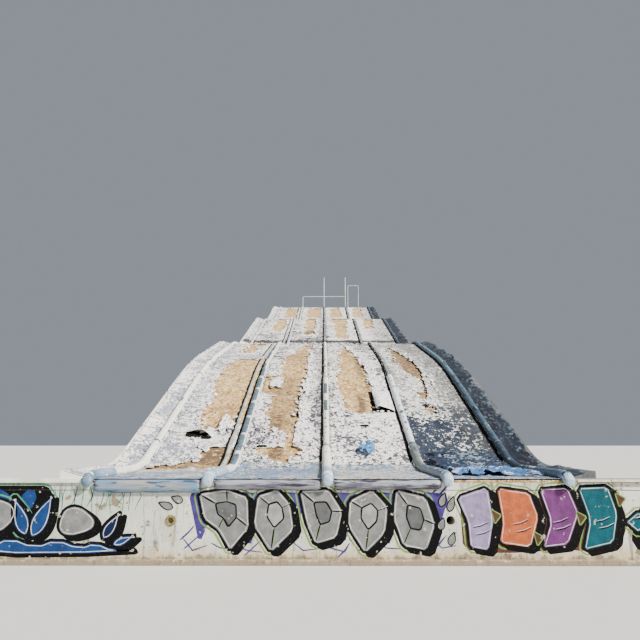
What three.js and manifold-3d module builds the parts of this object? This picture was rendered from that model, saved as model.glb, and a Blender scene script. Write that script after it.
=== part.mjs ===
// A four-lane water slide built down a hillside in three drops. It ends at the end wall of its landing pool.
// Millimetres, +Z up. +X is to the right as seen from the pool, and +Y runs up the slide.
// y is measured from the front face of the pool wall and z from the pool floor. The whole slide is moved at the
// end, so that its origin is the middle of its footprint on the pool floor.
import * as THREE from "three";
import { mergeVertices } from "three/addons/utils/BufferGeometryUtils.js";
import Module from "manifold-3d";

const wasm = await Module();
wasm.setup();

// Driving dimensions
const LANES = 4;
const LANE_PITCH = 1500;
const LIP_HEIGHT = 1000;
const SEAT = 0.3; // the gap that touching pieces keep

// The ride surface is set out like a road: straight grades between these points, joined by vertical curves.
const LIP = { y: 0, rise: 0, curve: 0 };
const RUN_OUT_END = { y: 2350, rise: 20, curve: 1000 };
const LOWER_DROP_BREAK = { y: 7900, rise: 2410, curve: 2500 };
const LOWER_CREST = { y: 12900, rise: 3740, curve: 1200 };
const LOWER_LANDING = { y: 15800, rise: 3800, curve: 900 };
const MIDDLE_CREST = { y: 24100, rise: 6760, curve: 1200 };
const UPPER_LANDING = { y: 27400, rise: 6830, curve: 900 };
const TOP_CREST = { y: 35000, rise: 9700, curve: 900 };
const BACK = { y: 36800, rise: 9700, curve: 0 };
const GRADE_POINTS = [
  LIP, RUN_OUT_END, LOWER_DROP_BREAK, LOWER_CREST, LOWER_LANDING, MIDDLE_CREST, UPPER_LANDING, TOP_CREST, BACK,
];
const CURVE_STEPS = 4;

// The deck is a concrete slab between two side walls, with foam mats on it and divider tubes between the mats.
const MAT = 30;
const SLAB = 150;
const SLAB_UNDERSIDE = MAT + SLAB;
const SLAB_HALF = 3070;
const SIDE_INNER = 2900;
const SIDE_OUTER = 3450;
const FACING = 30; // how far the walls are set back under the kerb and the platform, for their stone facing
const WALL_OUTER = SIDE_OUTER - FACING;
const WALL_BACK = BACK.y - FACING;
const CROSS_WALL = 300;
const KERB_RISE = 100;
const TUBE_RADIUS = 70;
const TUBE_SIDES = 12;
const CAP_RADIUS = 77;
const CAP_LENGTH = 60;

// The end wall of the landing pool, with a ring beam and copings along its top.
const WALL_HALF = 4500;
const WALL_THICK = 300;
const BEAM_BOTTOM = 880;
const BEAM_TOP = LIP_HEIGHT - MAT;
const BEAM_THICK = 200;
const PLINTH_DEPTH = 100;
const PLINTH_HEIGHT = 60;
const COPING_INNER = 3080;
const COPING_OVERHANG = 30;
const COPING_TOP = 1010;
const NOSING_TOP = 1005;
const NOSING_HEIGHT = 120;
const NOSING_DEPTH = 60;
const NOSING_CLEAR = 85;
const INLET_HEIGHT = 515;
const LEFT_INLET = { x: -1940, radius: 50 };
const RIGHT_INLET = { x: 1520, radius: 55 };
const ROUND_SIDES = 16;

// White pipework on the start platform.
const PIPE_SIDES = 12;
const FLANGE_RADIUS = 60;
const FLANGE_THICK = 10;
const RAIL = { y: 36000, radius: 21, height: 970, bend: 100 };
const POST = { radius: 24, height: 2370 };
const FRAME = { y: 36700, radius: 17, height: 1940, bend: 60, left: 1710, right: 2460 };

const MATERIALS = {
  render: { color: 0xd9d3c4, roughness: 0.9, metalness: 0 },
  concrete: { color: 0xb5b1a8, roughness: 0.95, metalness: 0 },
  rubble: { color: 0xa99f8d, roughness: 0.95, metalness: 0 },
  coping: { color: 0xe6e3da, roughness: 0.8, metalness: 0 },
  foam: { color: 0xd2ad7c, roughness: 0.9, metalness: 0 },
  liner: { color: 0x9fb0bb, roughness: 0.6, metalness: 0 },
  tube: { color: 0xdedfd8, roughness: 0.5, metalness: 0 },
  pipe: { color: 0xe8eaea, roughness: 0.4, metalness: 0.2 },
  fitting: { color: 0x6b6342, roughness: 0.5, metalness: 0.2 },
};

const slide = new THREE.Group();

function add(name, geometry, material) {
  const mesh = new THREE.Mesh(geometry, new THREE.MeshStandardMaterial(MATERIALS[material]));
  mesh.name = name;
  slide.add(mesh);
}

// Height of the ride surface at y. A vertical curve is a parabola centred on its grade point.
function slopeAfter(i) {
  const from = GRADE_POINTS[i];
  const to = GRADE_POINTS[i + 1];
  return (to.rise - from.rise) / (to.y - from.y);
}

function ride(y) {
  const passed = GRADE_POINTS.findLastIndex((point) => point.y <= y);
  const i = THREE.MathUtils.clamp(passed, 0, GRADE_POINTS.length - 2);
  const from = GRADE_POINTS[i];
  const nearest = y - from.y < GRADE_POINTS[i + 1].y - y ? i : i + 1;
  const straight = LIP_HEIGHT + from.rise + slopeAfter(i) * Math.max(y - from.y, 0);
  const { y: middle, curve } = GRADE_POINTS[nearest];
  const reach = curve / 2 - Math.abs(y - middle);
  if (reach <= 0) return straight;
  const turn = slopeAfter(nearest) - slopeAfter(nearest - 1);
  return straight + (turn * reach * reach) / (2 * curve);
}

// The places where the surface bends. Every piece uses the same ones, so pieces on each other share their corners.
const BENDS = GRADE_POINTS.filter(({ curve }) => curve > 0).flatMap(({ y, curve }) =>
  Array.from({ length: CURVE_STEPS + 1 }, (_, k) => y + curve * (k / CURVE_STEPS - 0.5)),
);

function stations(start, end) {
  return [start, ...BENDS.filter((y) => y > start + 1 && y < end - 1), end];
}

// An outline in the plane of Y and Z, extruded across the slide from x0 to x1.
function across(outline, x0, x1) {
  const shape = new THREE.Shape(outline.map(([y, z]) => new THREE.Vector2(y, z)));
  const body = new THREE.ExtrudeGeometry(shape, { depth: x1 - x0, bevelEnabled: false });
  const toYZX = new THREE.Matrix4().makeBasis(
    new THREE.Vector3(0, 1, 0), new THREE.Vector3(0, 0, 1), new THREE.Vector3(1, 0, 0),
  );
  body.applyMatrix4(toYZX);
  body.translate(x0, 0, 0);
  return body;
}

// A layer of the deck, between two depths below the ride surface.
function layer(start, end, x0, x1, top, bottom) {
  const ys = stations(start, end);
  const lower = ys.map((y) => [y, ride(y) - bottom]);
  const upper = ys.map((y) => [y, ride(y) - top]);
  return across([...lower, ...upper.reverse()], x0, x1);
}

// A wall that stands at the level of the pool floor and carries the slab.
function carryingWall(start, end, x0, x1) {
  const top = stations(start, end).map((y) => [y, ride(y) - SLAB_UNDERSIDE - SEAT]);
  return across([[start, 0], [end, 0], ...top.reverse()], x0, x1);
}

// A closed body through a list of round or four-sided rings. Each ring runs anticlockwise as seen from the start.
function loft(rings) {
  const count = rings[0].length;
  const last = (rings.length - 1) * count;
  const index = [];
  for (let j = 1; j < count - 1; j++) {
    index.push(0, j, j + 1);
    index.push(last, last + j + 1, last + j);
  }
  for (let i = 0; i < rings.length - 1; i++) {
    for (let j = 0; j < count; j++) {
      const a = i * count + j;
      const b = i * count + ((j + 1) % count);
      index.push(a, b + count, b, a, a + count, b + count);
    }
  }
  const geometry = new THREE.BufferGeometry().setFromPoints(rings.flat());
  geometry.setIndex(index);
  geometry.computeVertexNormals();
  return geometry;
}

function solid(geometry) {
  const bare = geometry.clone();
  bare.deleteAttribute("normal");
  bare.deleteAttribute("uv");
  const merged = mergeVertices(bare);
  const vertProperties = Float32Array.from(merged.attributes.position.array);
  const triVerts = Uint32Array.from(merged.index.array);
  return new wasm.Manifold(new wasm.Mesh({ numProp: 3, vertProperties, triVerts }));
}

function toGeometry(body) {
  const { vertProperties, triVerts } = body.getMesh();
  const geometry = new THREE.BufferGeometry();
  geometry.setAttribute("position", new THREE.BufferAttribute(vertProperties, 3));
  geometry.setIndex(new THREE.BufferAttribute(triVerts, 1));
  geometry.computeVertexNormals();
  return geometry;
}

// The pool wall has two round pipe holes, and a rebate along its back where the run-out slab rests.
function poolWall() {
  const face = new THREE.Shape();
  face.moveTo(-WALL_HALF, 0);
  face.lineTo(WALL_HALF, 0);
  face.lineTo(WALL_HALF, BEAM_BOTTOM);
  face.lineTo(-WALL_HALF, BEAM_BOTTOM);
  for (const { x, radius } of [LEFT_INLET, RIGHT_INLET]) {
    const hole = new THREE.Path();
    hole.absarc(x, INLET_HEIGHT, radius, 0, 2 * Math.PI);
    face.holes.push(hole);
  }
  const wall = new THREE.ExtrudeGeometry(face, {
    depth: WALL_THICK, bevelEnabled: false, curveSegments: ROUND_SIDES / 2,
  });
  wall.rotateX(Math.PI / 2);
  wall.translate(0, WALL_THICK, 0);
  const ledge = ride(0) - SLAB_UNDERSIDE - SEAT;
  const rebate = new THREE.BoxGeometry(3 * WALL_HALF, WALL_THICK, WALL_THICK);
  rebate.translate(0, BEAM_THICK + WALL_THICK / 2, ledge + WALL_THICK / 2);
  return toGeometry(solid(wall).subtract(solid(rebate)));
}

// A box from its two corners, given as pairs of limits along X, Y and Z.
function block([x0, x1], [y0, y1], [z0, z1]) {
  const body = new THREE.BoxGeometry(x1 - x0, y1 - y0, z1 - z0);
  body.translate((x0 + x1) / 2, (y0 + y1) / 2, (z0 + z1) / 2);
  return body;
}

// A pair of limits mirrored to the given side of the slide's middle line.
function onSide(side, inner, outer) {
  return side > 0 ? [inner, outer] : [-outer, -inner];
}

// The blind inlet in the left hole: a flange on the wall's face, a spigot in the hole and a dished middle.
function inletFitting() {
  const spigot = LEFT_INLET.radius - 3;
  const dish = spigot - 10;
  const flange = LEFT_INLET.radius + 17;
  const bevel = 5;
  const proud = 14;
  const dishDepth = 20;
  const spigotLength = 120;
  const profile = [
    [0, dishDepth], [dish, dishDepth], [dish, -proud], [flange - bevel, -proud], [flange, bevel - proud],
    [flange, -SEAT], [spigot, -SEAT], [spigot, spigotLength], [0, spigotLength],
  ];
  const body = new THREE.LatheGeometry(profile.map(([r, depth]) => new THREE.Vector2(r, depth)), ROUND_SIDES);
  body.translate(LEFT_INLET.x, 0, INLET_HEIGHT);
  return body;
}

// The roll along the wall's top edge between two tube ends: half an ellipse on a flat back.
function nosing(x0, x1) {
  const steps = 8;
  const outline = Array.from({ length: steps + 1 }, (_, k) => {
    const turn = Math.PI * (0.5 + k / steps);
    const z = NOSING_TOP - NOSING_HEIGHT / 2 + (NOSING_HEIGHT / 2) * Math.sin(turn);
    return [-SEAT + NOSING_DEPTH * Math.cos(turn), z];
  });
  return across(outline, x0, x1);
}

// A divider tube lies on the slab, with a flat of its many sides down, and is round square to the slope.
function tubeRing(x, y, radius) {
  const slope = (ride(y + 1) - ride(y - 1)) / 2;
  const stretch = Math.hypot(1, slope);
  const axis = ride(y) - MAT + SEAT + TUBE_RADIUS * stretch;
  const corner = radius / Math.cos(Math.PI / TUBE_SIDES);
  return Array.from({ length: TUBE_SIDES }, (_, k) => {
    const turn = ((k + 0.5) / TUBE_SIDES) * 2 * Math.PI - Math.PI / 2;
    return new THREE.Vector3(x + corner * Math.cos(turn), y, axis + stretch * corner * Math.sin(turn));
  });
}

// The lowest length ends past the lip in a rounded cap, which is a little wider than the tube.
function tubeCap(x) {
  const crown = [[1, 0.5], [0.8, 0.85], [0.4, 1], [0.04, 1]];
  const rings = crown.map(([reach, width]) => tubeRing(x, -CAP_LENGTH * reach, CAP_RADIUS * width));
  return [...rings, tubeRing(x, -1, TUBE_RADIUS)];
}

function dividerTube(x, start, end) {
  const along = stations(start, end).map((y) => tubeRing(x, y, TUBE_RADIUS));
  return loft(start > 0 ? along : [...tubeCap(x), ...along]);
}

// The kerb outside the outer tube stands on the side wall, and its top rises outward.
function kerb(side, start, end) {
  const inner = SLAB_HALF + SEAT;
  return loft(stations(start, end).map((y) => {
    const low = ride(y) - SLAB_UNDERSIDE;
    const corners = [[inner, low], [SIDE_OUTER, low], [SIDE_OUTER, ride(y) + KERB_RISE], [inner, ride(y)]];
    const ring = corners.map(([x, z]) => new THREE.Vector3(side * x, y, z));
    return side > 0 ? ring : ring.reverse();
  }));
}

// A pipe bent in the plane of X and Z. Each foot stands on the platform on a round flange.
function bentPipe(corners, { y, radius, bend }, feet) {
  const points = corners.map(([x, z]) => new THREE.Vector3(x, y, z));
  const line = [points[0]];
  for (let i = 1; i < points.length - 1; i++) {
    const before = points[i - 1].clone().sub(points[i]).setLength(bend).add(points[i]);
    const after = points[i + 1].clone().sub(points[i]).setLength(bend).add(points[i]);
    line.push(...new THREE.QuadraticBezierCurve3(before, points[i], after).getPoints(CURVE_STEPS));
  }
  line.push(points.at(-1));
  const rings = line.map((point, i) => {
    const along = (line[i + 1] ?? point).clone().sub(line[i - 1] ?? point).normalize();
    const outward = new THREE.Vector3(along.z, 0, -along.x);
    return Array.from({ length: PIPE_SIDES }, (_, k) => {
      const turn = (k / PIPE_SIDES) * 2 * Math.PI;
      const corner = point.clone().addScaledVector(outward, radius * Math.cos(turn));
      corner.y -= radius * Math.sin(turn);
      return corner;
    });
  });
  let body = solid(loft(rings));
  for (const x of feet) {
    const flange = new THREE.CylinderGeometry(FLANGE_RADIUS, FLANGE_RADIUS, FLANGE_THICK, PIPE_SIDES);
    flange.rotateX(Math.PI / 2);
    flange.translate(x, y, points[0].z + FLANGE_THICK / 2);
    body = body.add(solid(flange));
  }
  return toGeometry(body);
}

// A straight post on a round flange, just behind the rail that it carries.
function railPost(x, foot) {
  const profile = [
    [0, 0], [FLANGE_RADIUS, 0], [FLANGE_RADIUS, FLANGE_THICK], [POST.radius, FLANGE_THICK],
    [POST.radius, POST.height], [0, POST.height],
  ];
  const body = new THREE.LatheGeometry(profile.map(([r, z]) => new THREE.Vector2(r, z)), PIPE_SIDES);
  body.rotateX(Math.PI / 2);
  body.translate(x, RAIL.y + RAIL.radius + POST.radius + SEAT, foot);
  return body;
}

// The pool's end wall and what is on it
add("pool_end_wall", poolWall(), "render");
const wallWidth = [-WALL_HALF, WALL_HALF];
add("wall_ring_beam", block(wallWidth, [0, BEAM_THICK], [BEAM_BOTTOM + SEAT, BEAM_TOP]), "render");
add("wall_plinth", block(wallWidth, [-PLINTH_DEPTH, -SEAT], [0, PLINTH_HEIGHT]), "render");
add("inlet_fitting", inletFitting(), "fitting");
const copingDepth = [-COPING_OVERHANG, BEAM_THICK + COPING_OVERHANG];
for (const [name, side] of [["left", -1], ["right", 1]]) {
  const coping = block(onSide(side, COPING_INNER, WALL_HALF), copingDepth, [BEAM_TOP + SEAT, COPING_TOP]);
  add(`${name}_coping`, coping, "coping");
}

// Side walls, cross walls and the rear wall
const WALL_RUNS = [
  ["lower", WALL_THICK + SEAT, LOWER_LANDING.y],
  ["middle", LOWER_LANDING.y + SEAT, UPPER_LANDING.y],
  ["upper", UPPER_LANDING.y + SEAT, WALL_BACK - CROSS_WALL - SEAT],
];
for (const [name, side] of [["left", -1], ["right", 1]]) {
  for (const [run, start, end] of WALL_RUNS) {
    const wall = carryingWall(start, end, ...onSide(side, SIDE_INNER, WALL_OUTER));
    add(`${name}_side_wall_${run}`, wall, "rubble");
  }
}
const between = SIDE_INNER - SEAT;
for (const [run, { y }] of [["lower", LOWER_LANDING], ["upper", UPPER_LANDING]]) {
  add(`${run}_cross_wall`, carryingWall(y - CROSS_WALL / 2, y + CROSS_WALL / 2, -between, between), "rubble");
}
add("rear_wall", carryingWall(WALL_BACK - CROSS_WALL, WALL_BACK, -WALL_OUTER, WALL_OUTER), "rubble");

// The slab, in bays that meet at the end of the run-out and at the two landings
const SLAB_BAYS = [
  ["run_out_slab", BEAM_THICK + SEAT, RUN_OUT_END.y],
  ["lower_slab", RUN_OUT_END.y + SEAT, LOWER_LANDING.y],
  ["middle_slab", LOWER_LANDING.y + SEAT, UPPER_LANDING.y],
  ["upper_slab", UPPER_LANDING.y + SEAT, TOP_CREST.y],
];
for (const [name, start, end] of SLAB_BAYS) {
  add(name, layer(start, end, -SLAB_HALF, SLAB_HALF, MAT, SLAB_UNDERSIDE), "concrete");
}
const platform = layer(TOP_CREST.y + SEAT, BACK.y, -SIDE_OUTER, SIDE_OUTER, 0, SLAB_UNDERSIDE);
add("start_platform", platform, "concrete");

// Each lane's mat is in three lengths, which meet at the end of the run-out and at the lower landing.
const MAT_LENGTHS = [
  ["run_out", 0, RUN_OUT_END.y],
  ["lower", RUN_OUT_END.y + SEAT, LOWER_LANDING.y],
  ["upper", LOWER_LANDING.y + SEAT, TOP_CREST.y],
];
const middleLine = (LANES / 2) * LANE_PITCH;
for (let lane = 1; lane <= LANES; lane++) {
  const left = (lane - 1) * LANE_PITCH - middleLine + TUBE_RADIUS + 1;
  const right = lane * LANE_PITCH - middleLine - TUBE_RADIUS - 1;
  for (const [length, start, end] of MAT_LENGTHS) {
    add(`lane_${lane}_${length}_mat`, layer(start, end, left, right, 0, MAT - SEAT), "foam");
  }
}

// Each divider tube is in two lengths, which meet at the lower landing.
for (let line = 0; line <= LANES; line++) {
  const x = line * LANE_PITCH - middleLine;
  add(`divider_tube_${line + 1}_lower`, dividerTube(x, 0, LOWER_LANDING.y), "tube");
  add(`divider_tube_${line + 1}_upper`, dividerTube(x, LOWER_LANDING.y + SEAT, TOP_CREST.y), "tube");
}
const kerbStart = BEAM_THICK + COPING_OVERHANG + SEAT;
add("left_kerb", kerb(-1, kerbStart, TOP_CREST.y), "liner");
add("right_kerb", kerb(1, kerbStart, TOP_CREST.y), "liner");

// The roll of the last lane is missing
for (let lane = 1; lane < LANES; lane++) {
  const left = (lane - 1) * LANE_PITCH - middleLine;
  add(`lip_nosing_${lane}`, nosing(left + NOSING_CLEAR, left + LANE_PITCH - NOSING_CLEAR), "liner");
}

// Pipework on the start platform
const foot = LIP_HEIGHT + BACK.rise + SEAT;
const railEnds = [-LANE_PITCH, LANE_PITCH + POST.radius];
const railCorners = [[railEnds[0], foot], [railEnds[0], foot + RAIL.height], [railEnds[1], foot + RAIL.height]];
add("start_rail", bentPipe(railCorners, RAIL, [railEnds[0]]), "pipe");
add("tall_post_centre", railPost(0, foot), "pipe");
add("tall_post_right", railPost(LANE_PITCH, foot), "pipe");
const frameTop = foot + FRAME.height;
const frameCorners = [[FRAME.left, foot], [FRAME.left, frameTop], [FRAME.right, frameTop], [FRAME.right, foot]];
add("entry_frame", bentPipe(frameCorners, FRAME, [FRAME.left, FRAME.right]), "pipe");

slide.position.y = -(BACK.y - PLINTH_DEPTH) / 2;

export default slide;
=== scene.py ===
import math

import bpy
import numpy as np
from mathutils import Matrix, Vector, geometry, noise


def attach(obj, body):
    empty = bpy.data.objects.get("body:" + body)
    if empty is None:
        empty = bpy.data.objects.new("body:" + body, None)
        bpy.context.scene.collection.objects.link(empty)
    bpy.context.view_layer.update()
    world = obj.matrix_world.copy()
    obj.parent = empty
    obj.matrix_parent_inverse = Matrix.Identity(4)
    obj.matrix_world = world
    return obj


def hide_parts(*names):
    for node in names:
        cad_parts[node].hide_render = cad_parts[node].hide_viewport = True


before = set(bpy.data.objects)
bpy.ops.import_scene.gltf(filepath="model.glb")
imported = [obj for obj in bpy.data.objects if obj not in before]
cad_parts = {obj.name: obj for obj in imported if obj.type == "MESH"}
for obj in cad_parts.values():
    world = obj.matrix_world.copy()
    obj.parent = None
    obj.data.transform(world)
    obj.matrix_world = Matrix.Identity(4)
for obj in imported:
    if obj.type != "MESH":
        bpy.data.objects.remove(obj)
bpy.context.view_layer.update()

# The eye stands on the pool's floor, a little over eight metres in front of the end wall and just above its
# lip, and looks up the slide.
WALL_FACE = -18.35
EYE_ASIDE, EYE_DISTANCE, EYE_HEIGHT = -0.05, 8.24, 1.449
EYE_LIFT, EYE_TURN = 10.92, 0.31
camera = bpy.data.objects.new("camera", bpy.data.cameras.new("camera"))
camera.data.lens = 36
camera.data.sensor_width = 36
camera.location = (EYE_ASIDE, WALL_FACE - EYE_DISTANCE, EYE_HEIGHT)
camera.rotation_euler = (math.radians(90 + EYE_LIFT), 0, math.radians(EYE_TURN))
bpy.context.collection.objects.link(camera)
bpy.context.scene.camera = camera


# A plain pale studio: a wide floor, an even pale surround, and one broad soft light high on the right.
def sheet_of(name, points, faces):
    mesh = bpy.data.meshes.new(name)
    mesh.from_pydata(np.asarray(points).tolist(), [], [tuple(face) for face in faces])
    piece = bpy.data.objects.new(name, mesh)
    bpy.context.collection.objects.link(piece)
    return piece


FLOOR_REACH, FLOOR_DROP = 400, 0.002
around = (-1, -1), (1, -1), (1, 1), (-1, 1)
floor_corners = [(x * FLOOR_REACH, y * FLOOR_REACH, -FLOOR_DROP) for x, y in around]
floor = sheet_of("studio_floor", floor_corners, [(0, 1, 2, 3)])
floor_finish = bpy.data.materials.new("studio_floor")
floor_finish.use_nodes = True
floor_shader = floor_finish.node_tree.nodes["Principled BSDF"].inputs
floor_shader["Base Color"].default_value = (0.62, 0.61, 0.59, 1)
floor_shader["Roughness"].default_value = 0.9
floor.data.materials.append(floor_finish)

surround = bpy.data.worlds.new("surround")
surround.use_nodes = True
surround_shader = surround.node_tree.nodes["Background"].inputs
surround_shader["Color"].default_value = (0.72, 0.80, 0.92, 1)
surround_shader["Strength"].default_value = 0.38
bpy.context.scene.world = surround

key_light = bpy.data.objects.new("key_light", bpy.data.lights.new("key_light", "SUN"))
key_light.data.energy = 10
key_light.data.angle = math.radians(6)
key_light.data.color = (1.0, 0.95, 0.88)
key_light.rotation_euler = (math.radians(50), 0, math.radians(58))
bpy.context.collection.objects.link(key_light)


# Walls under the slide: rubble limestone laid in mortar. The cores stay as they are, in mortar, and stand
# behind a facing of separate stones on both sides and at the back.
class Signal:
    """A socket of a material, so that its maths reads as plain arithmetic."""

    def __init__(self, finish, socket):
        self.finish = finish
        self.socket = socket

    def math(self, operation, *values):
        return self.finish.node("ShaderNodeMath", {"operation": operation}, dict(enumerate((self, *values))))

    def __add__(self, other):
        return self.math("ADD", other)

    def __sub__(self, other):
        return self.math("SUBTRACT", other)

    def __rsub__(self, other):
        return self.math("MULTIPLY", -1) + other

    def __mul__(self, other):
        return self.math("MULTIPLY", other)

    __radd__ = __add__
    __rmul__ = __mul__

    def between(self, low, high):
        """Rises smoothly from 0 at low to 1 at high."""
        sockets = {"Value": self, "From Min": low, "From Max": high}
        return self.finish.node("ShaderNodeMapRange", {"interpolation_type": "SMOOTHSTEP"}, sockets)


class Finish:
    """A material, whose colour is built up from its ground by tints. Its node method adds any node."""

    def __init__(self, name, ground, roughness=0.8):
        self.material = bpy.data.materials.new(name)
        self.material.use_nodes = True
        self.tree = self.material.node_tree
        self.shader = self.tree.nodes["Principled BSDF"].inputs
        self.shader["Roughness"].default_value = roughness
        self.colour = ground

    def node(self, kind, settings, sockets, output=0):
        node = self.tree.nodes.new(kind)
        for setting, value in settings.items():
            setattr(node, setting, value)
        for socket, value in sockets.items():
            if isinstance(value, Signal):
                self.tree.links.new(value.socket, node.inputs[socket])
            else:
                node.inputs[socket].default_value = value
        return Signal(self, node.outputs[output])

    def place(self, stretch):
        """A point's place in metres. Noise is drawn out along an axis where stretch is below 1."""
        spot = self.node("ShaderNodeTexCoord", {}, {}, output="Object")
        return self.node("ShaderNodeVectorMath", {"operation": "MULTIPLY"}, {0: spot, 1: stretch})

    def along(self, axis):
        return self.node("ShaderNodeSeparateXYZ", {}, {0: self.place((1, 1, 1))}, output=axis)

    def grain(self, size, detail=3, stretch=(1, 1, 1)):
        """Noise from 0 to 1, mostly near a half, whose bumps are about size metres apart."""
        sockets = {"Vector": self.place(stretch), "Scale": 1 / size, "Detail": detail, "Roughness": 0.6}
        return self.node("ShaderNodeTexNoise", {}, sockets)

    def measure(self, name):
        """A number that the mesh carries at each of its points."""
        return self.node("ShaderNodeAttribute", {"attribute_name": name}, {}, output="Fac")

    def mix(self, share, first, second):
        """Two colours mixed. Each is a signal or a screen colour."""
        first, second = (c if isinstance(c, Signal) else paint(c) for c in (first, second))
        return self.node("ShaderNodeMix", {"data_type": "RGBA"}, {0: share, 6: first, 7: second}, output=2)

    def tint(self, share, colour):
        """Lays a colour over those before it, as strongly as share says from place to place."""
        self.colour = self.mix(share, self.colour, colour)
        self.feed("Base Color", self.colour)

    def feed(self, socket, signal):
        self.tree.links.new(signal.socket, self.shader[socket])

    def relief(self, height, depth):
        bump = self.node("ShaderNodeBump", {}, {"Height": height, "Distance": depth, "Strength": 1.0})
        self.feed("Normal", bump)


def paint(colour):
    """A screen colour, 0 to 255, as the linear colour that a shader takes."""
    channels = (channel / 255 for channel in colour)
    return (*(c / 12.92 if c <= 0.04045 else ((c + 0.055) / 1.055) ** 2.4 for c in channels), 1)


def dress(finish, *nodes):
    for node in nodes:
        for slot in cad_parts[node].material_slots:
            slot.material = finish.material


def piece_of(name, body, finish, slot, node=None, soft=True, **measures):
    """A finished piece, which stands for the node. Measures repeat until they fill the body's points."""
    points, faces = body
    piece = sheet_of(name, points, faces)
    piece.data.materials.append(finish.material)
    if soft:
        piece.data.shade_smooth()
    for measure, values in measures.items():
        column = piece.data.attributes.new(measure, "FLOAT", "POINT").data
        column.foreach_set("value", np.resize(values, len(points)))
    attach(piece, "root")
    if node:
        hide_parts(node)
    return piece


LIP_HEIGHT = 1.0
# Where the grade changes: metres behind the wall's face, rise over the lip, and length of the curve there.
GRADE_POINTS = np.array([
    (0.0, 0.0, 0.0), (2.35, 0.02, 1.0), (7.9, 2.41, 2.5), (12.9, 3.74, 1.2), (15.8, 3.80, 0.9),
    (24.1, 6.76, 1.2), (27.4, 6.83, 0.9), (35.0, 9.70, 0.9), (36.8, 9.70, 0.0),
])


def ride(s):
    """Height of the ride surface s metres behind the wall's face: straight grades joined by curves."""
    s = np.asarray(s, float)
    places, rises, curves = GRADE_POINTS.T
    z = LIP_HEIGHT + np.interp(s, places, rises)
    slopes = np.diff(rises) / np.diff(places)
    for place, curve, turn in zip(places[1:-1], curves[1:-1], np.diff(slopes)):
        reach = np.clip(curve / 2 - abs(s - place), 0, None)
        z = z + turn * reach ** 2 / (2 * curve)
    return z


mortar = Finish("lime_mortar", (96, 88, 74), roughness=0.95)
mortar.tint(mortar.grain(0.25, 5).between(0.35, 0.65), (64, 58, 48))
mortar.relief(mortar.grain(0.02, 5), 0.012)
for run in ("lower", "middle", "upper"):
    dress(mortar, f"left_side_wall_{run}", f"right_side_wall_{run}")
dress(mortar, "lower_cross_wall", "upper_cross_wall", "rear_wall")

limestone = Finish("rubble_limestone", (184, 168, 140), roughness=0.9)
stone_shade = limestone.measure("shade")
limestone.tint(stone_shade.between(0.0, 0.6), (154, 142, 120))
limestone.tint(stone_shade.between(0.7, 1.0) * 0.7, (122, 112, 100))
limestone.tint(limestone.grain(0.06, 6).between(0.42, 0.68) * 0.75, (88, 78, 64))
limestone.relief(limestone.grain(0.035, 6), 0.014)

STONE_LENGTH, COURSE, STONE_JOINT, STONE_BEVEL = 0.38, 0.29, 0.016, 0.024
# How far a stone's corners stray, the least share of a full stone that is laid, and how proud stones stand.
STRAY_ALONG, STRAY_UP, LEAST_STONE, STONE_PROUD = 0.33, 0.28, 0.25, (0.012, 0.022)
WALL_OUTER, WALL_START, WALL_BACK, SLAB_UNDERSIDE, SLAB_GAP = 3.42, 0.31, 36.77, 0.18, 0.01


def rubble(name, start, end, top, place, seed):
    """Rough stones on a wall's face. top is its height along it. place turns along, up and out to a point."""
    dice = np.random.default_rng(seed)
    half = STONE_LENGTH / 2
    columns = int((end - start) / half) + 3
    courses = int(float(top(np.linspace(start, end, 60)).max()) / COURSE) + 2
    along, up = np.meshgrid(start + half * np.arange(columns), COURSE * np.arange(courses))
    along = np.clip(along + dice.uniform(-STRAY_ALONG, STRAY_ALONG, along.shape) * half, start, end)
    up = np.clip(up + dice.uniform(-STRAY_UP, STRAY_UP, up.shape) * COURSE, 0.0, top(along))
    knots = np.stack([along, up], -1)
    outlines = []
    for course in range(courses - 1):
        left = np.arange(course % 2, columns - 2, 2)
        below = [knots[course, left + k] for k in (0, 1, 2)]
        above = [knots[course + 1, left + k] for k in (2, 1, 0)]
        outlines.append(np.stack(below + above, 1))
    outlines = np.concatenate(outlines)
    ahead = np.roll(outlines, -1, 1)
    area = (outlines[..., 0] * ahead[..., 1] - outlines[..., 1] * ahead[..., 0]).sum(1) / 2
    outlines = outlines[area > LEAST_STONE * STONE_LENGTH * COURSE]
    count, sides = outlines.shape[:2]
    middle = outlines.mean(1, keepdims=True)
    away = outlines - middle
    reach = np.linalg.norm(away, axis=2, keepdims=True)
    foot = middle + away * (1 - STONE_JOINT / reach)
    crown = middle + away * (1 - (STONE_JOINT + STONE_BEVEL) / reach)
    out = dice.uniform(*STONE_PROUD, (count, 1)) + dice.uniform(-0.004, 0.004, (count, sides))
    rings = [(foot, 0 * out - 0.004), (crown, out), (middle, out.mean(1, keepdims=True) + 0.005)]
    stones = np.concatenate([place(ring[..., 0], ring[..., 1], depth) for ring, depth in rings], 1)
    each = stones.shape[1]
    model = [tuple(range(sides))[::-1]]
    for k in range(sides):
        after = (k + 1) % sides
        model += [(k, after, sides + after, sides + k), (sides + k, sides + after, 2 * sides)]
    faces = [tuple(corner + each * stone for corner in face) for stone in range(count) for face in model]
    shade = np.repeat(dice.uniform(0, 1, count), each)
    piece_of(name, (stones.reshape(-1, 3), faces), limestone, "rubble_stone", soft=False, shade=shade)


def wall_top(s):
    return ride(s) - SLAB_UNDERSIDE - SLAB_GAP


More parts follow.
